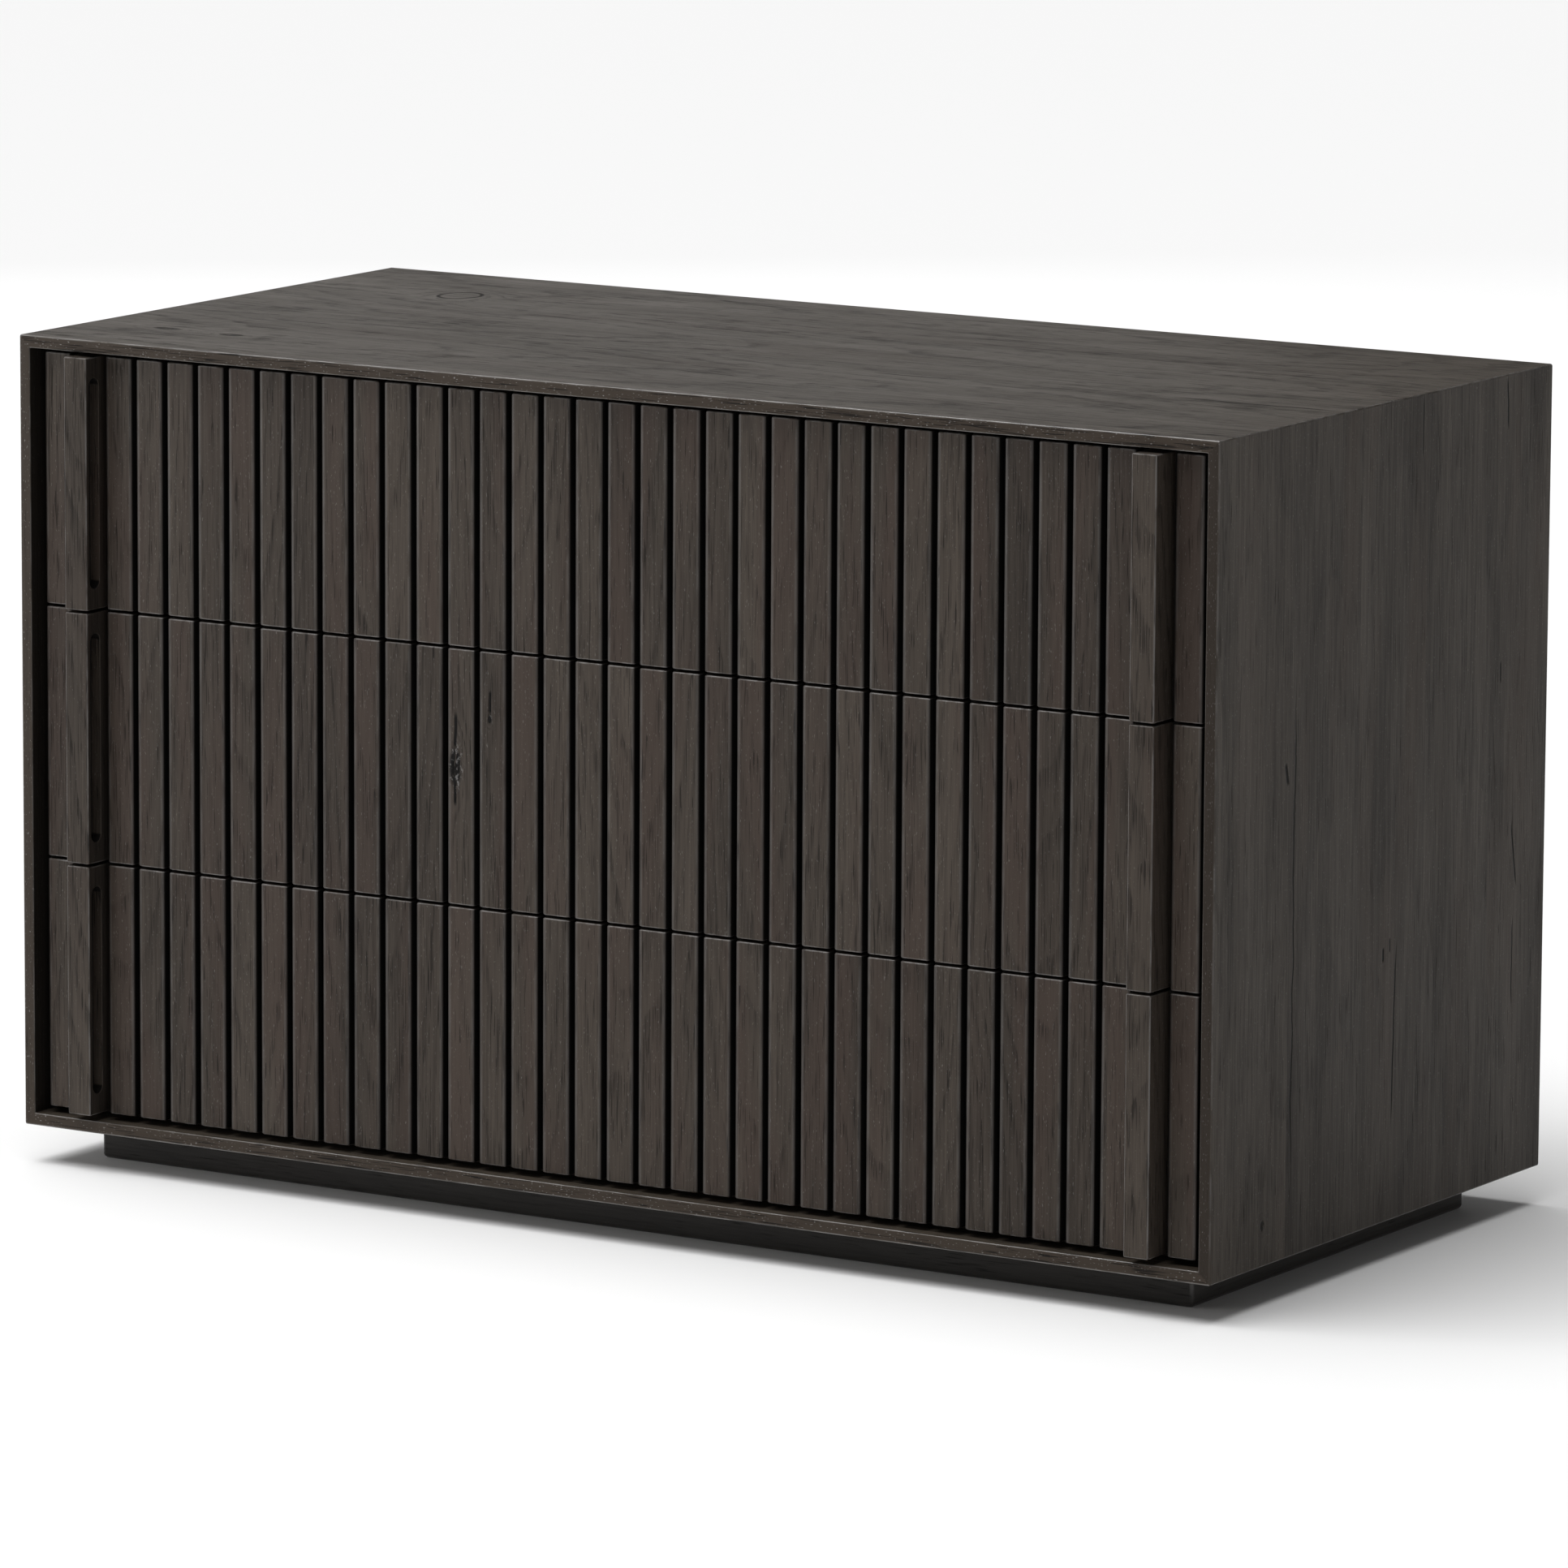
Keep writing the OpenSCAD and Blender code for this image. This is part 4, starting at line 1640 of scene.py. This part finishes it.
    def _box(self) -> None:
        """Makes the drawer box's boards."""
        finishes = {
            "box_front": Grain.X_UPRIGHT,
            "box_back": Grain.X_UPRIGHT,
            "box_left_side": Grain.Y,
            "box_right_side": Grain.Y,
            "box_bottom": Grain.X,
        }
        for part, grain in finishes.items():
            node = f"{self.body}_{part}"
            ease_copy(node, f"{node}_board", self.board_edge, BIRCH, self.body, grain)

    def _slides(self) -> None:
        """Makes the three members of the drawer's slides, each on its own body."""
        bodies = {"case_members": "case", "runners": f"{self.row}_runners", "drawer_members": self.body}
        for part, body in bodies.items():
            node = f"{self.row}_slide_{part}"
            ease_copy(node, f"{node}_steel", self.steel_edge, SLIDE_STEEL, body)


# ---------------------------------------------------------------- studio


@dataclass
class Studio:
    """A pale floor, soft lights and the camera."""

    azimuth: float = math.radians(31.87)
    elevation: float = math.radians(9.82)
    roll: float = math.radians(0.30)
    distance: float = 6.92
    lens: float = 240.1
    sensor: float = 36.0
    aim_right: float = 0.004
    aim_up: float = -0.023
    floor_half: float = 40.0
    floor_cells: int = 4
    surroundings: float = 0.09
    farthest: float = 200.0

    def build(self) -> None:
        """Sets up the floor, lights, surroundings and camera."""
        self._floor()
        self._lights()
        self._camera()

    def _floor(self) -> None:
        """Lays the floor just under the plinth."""
        blank = Blank()
        cells = self.floor_cells
        bmesh.ops.create_grid(blank.mesh, x_segments=cells, y_segments=cells, size=self.floor_half)
        floor = dress(blank.object("studio_floor", smooth=False), StudioPaper().material())

    def _lights(self) -> None:
        """Hangs the soft lights and fills the surroundings with dim light."""
        world = bpy.data.worlds.new("studio")
        bpy.context.scene.world = world
        world.use_nodes = True
        graph = Graph(world.node_tree)
        white = (1.0, 1.0, 1.0, 1.0)
        glow = graph.node("ShaderNodeBackground", {}, {"Color": white, "Strength": self.surroundings})
        graph.node("ShaderNodeOutputWorld", {}, {0: glow.outputs[0]})
        bpy.context.scene.view_settings.view_transform = "Standard"
        self._lamp("ceiling", "SUN", (-0.55, -0.6, 3.0), (0, 0, 0), math.radians(55), 3.1)
        self._lamp("key", "AREA", (-3.5, -2.5, 0.8), (0, -0.1, 0.2), 2.0, 62.0)
        self._lamp("rear", "AREA", (-2.8, 3.6, 1.8), (-0.1, 0.1, 0.5), 2.2, 13.0)
        self._lamp("fill", "AREA", (2.7, 0.3, 0.3), (0.45, 0, 0.1), 1.0, 5.0)
        self._lamp("edge", "AREA", (-1.2, -0.75, 3.1), (0.35, -0.2, 0.55), 0.4, 5.0)

    @staticmethod
    def _lamp(name: str, kind: str, spot: Corner, target: Corner, spread: float, power: float) -> None:
        """Hangs one soft light.

        Args:
            name: the light's name.
            kind: SUN or AREA.
            spot: where it hangs.
            target: what it points at.
            spread: a sun's angle, or an area light's side in metres.
            power: its power, in watts a square metre for a sun and in watts for an area light.
        """
        data = bpy.data.lights.new(name, kind)
        data.energy = power
        if kind == "SUN":
            data.angle = spread
        else:
            data.size = spread
        light = add_object(name, data)
        light.location = spot
        light.rotation_euler = (Vector(target) - Vector(spot)).to_track_quat("-Z", "Y").to_euler()

    def _camera(self) -> None:
        """Places the camera and makes it the scene's."""
        low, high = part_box("case_bottom")[0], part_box("case_top")[1]
        centre = (low + high) / 2
        flat = math.cos(self.elevation)
        sine, cosine = math.sin(self.azimuth), math.cos(self.azimuth)
        back = Vector((sine * flat, -cosine * flat, math.sin(self.elevation)))
        level = Vector((cosine, sine, 0.0))
        over = back.cross(level)
        right = level * math.cos(self.roll) + over * math.sin(self.roll)
        up = over * math.cos(self.roll) - level * math.sin(self.roll)
        data = bpy.data.cameras.new("camera")
        data.lens = self.lens
        data.sensor_width = self.sensor
        data.clip_end = self.farthest
        camera = add_object("camera", data)
        turn = Matrix((right, up, back)).transposed().to_4x4()
        spot = centre + back * self.distance + level * self.aim_right + over * self.aim_up
        camera.matrix_world = Matrix.Translation(spot) @ turn
        bpy.context.scene.camera = camera


# A ring knot near the back left corner, two small knots near the front, and splits along the grain.
TOP_FAULTS = (
    Knot(along=0.14, across=0.76, length=14 * MM, breadth=17 * MM, darkness=0.9, hollow=True),
    Knot(along=0.07, across=0.18, length=12 * MM, breadth=5 * MM),
    Knot(along=0.13, across=0.17, length=10 * MM, breadth=5 * MM),
    Check((0.10, 0.36), (0.16, 0.36), 0.9 * MM, 4 * MM),
    Check((0.37, 0.35), (0.43, 0.35), 0.9 * MM, 4 * MM),
    Check((0.50, 0.21), (0.56, 0.20), 1.0 * MM, 5 * MM),
    Check((0.62, 0.35), (0.70, 0.35), 1.0 * MM, 5 * MM),
    Check((0.86, 0.36), (0.99, 0.36), 1.3 * MM, 6 * MM),
)
# One long crack up the front part, shorter ones in the middle and at the back, and splits from the top edge.
RIGHT_FAULTS = (
    Check((0.72, 0.23), (0.06, 0.23), 0.9 * MM, 3 * MM),
    Check((0.60, 0.20), (0.57, 0.21), 1.9 * MM, 4 * MM),
    Check((0.35, 0.54), (0.11, 0.53), 1.0 * MM, 2 * MM),
    Check((0.35, 0.52), (0.33, 0.52), 0.9 * MM),
    Check((0.34, 0.50), (0.32, 0.50), 1.5 * MM),
    Check((0.45, 0.89), (0.36, 0.91), 1.1 * MM),
    Check((0.33, 0.90), (0.21, 0.90), 0.8 * MM),
    Check((0.65, 0.85), (0.62, 0.85), 1.1 * MM),
    Check((1.00, 0.60), (0.92, 0.60), 0.8 * MM),
    Check((1.00, 0.86), (0.93, 0.86), 1.2 * MM, 3 * MM),
    Knot(along=0.05, across=0.15, length=4 * MM, breadth=3 * MM),
)
LEFT_FAULTS = (
    Check((0.55, 0.30), (0.86, 0.32), 0.5 * MM),
    Check((0.04, 0.68), (0.22, 0.67), 0.6 * MM, 3 * MM),
    Check((0.70, 0.80), (0.73, 0.80), 0.6 * MM),
    Knot(along=0.33, across=0.74, length=8 * MM, breadth=5 * MM),
)
# A rough knot with a split above and below it, and a small one with a split in the slat to its right.
MIDDLE_SLAT_FAULTS = (
    Knot(along=0.54, across=0.37, length=15 * MM, breadth=5.5 * MM, darkness=1.0, glinting=True),
    Knot(along=0.74, across=0.40, length=3.5 * MM, breadth=1.8 * MM, darkness=1.0, glinting=True),
    Check((0.60, 0.37), (0.76, 0.37), 1.5 * MM, 2 * MM),
    Check((0.38, 0.37), (0.50, 0.37), 1.3 * MM, 2 * MM),
    Check((0.75, 0.40), (0.86, 0.40), 1.2 * MM, 2 * MM),
)


def main() -> None:
    """Builds every piece in order, then the studio."""
    logging.basicConfig(level=logging.INFO, format="%(name)s: %(message)s")
    boards = {"case_top": TOP_FAULTS, "case_right_side": RIGHT_FAULTS, "case_left_side": LEFT_FAULTS}
    Case(faults=boards).build()
    Plinth().build()
    slats, screws = SlatRow(), ScrewSet()
    for row in ROWS:
        Drawer(row, slats, screws, faults=MIDDLE_SLAT_FAULTS if row == "middle" else ()).build()
    for number, node in enumerate(("plinth_screws", "back_panel_screws", "slide_screws")):
        screws.build(node, "case", 31 + number)
    Studio().build()


if __name__ == "__main__":
    main()
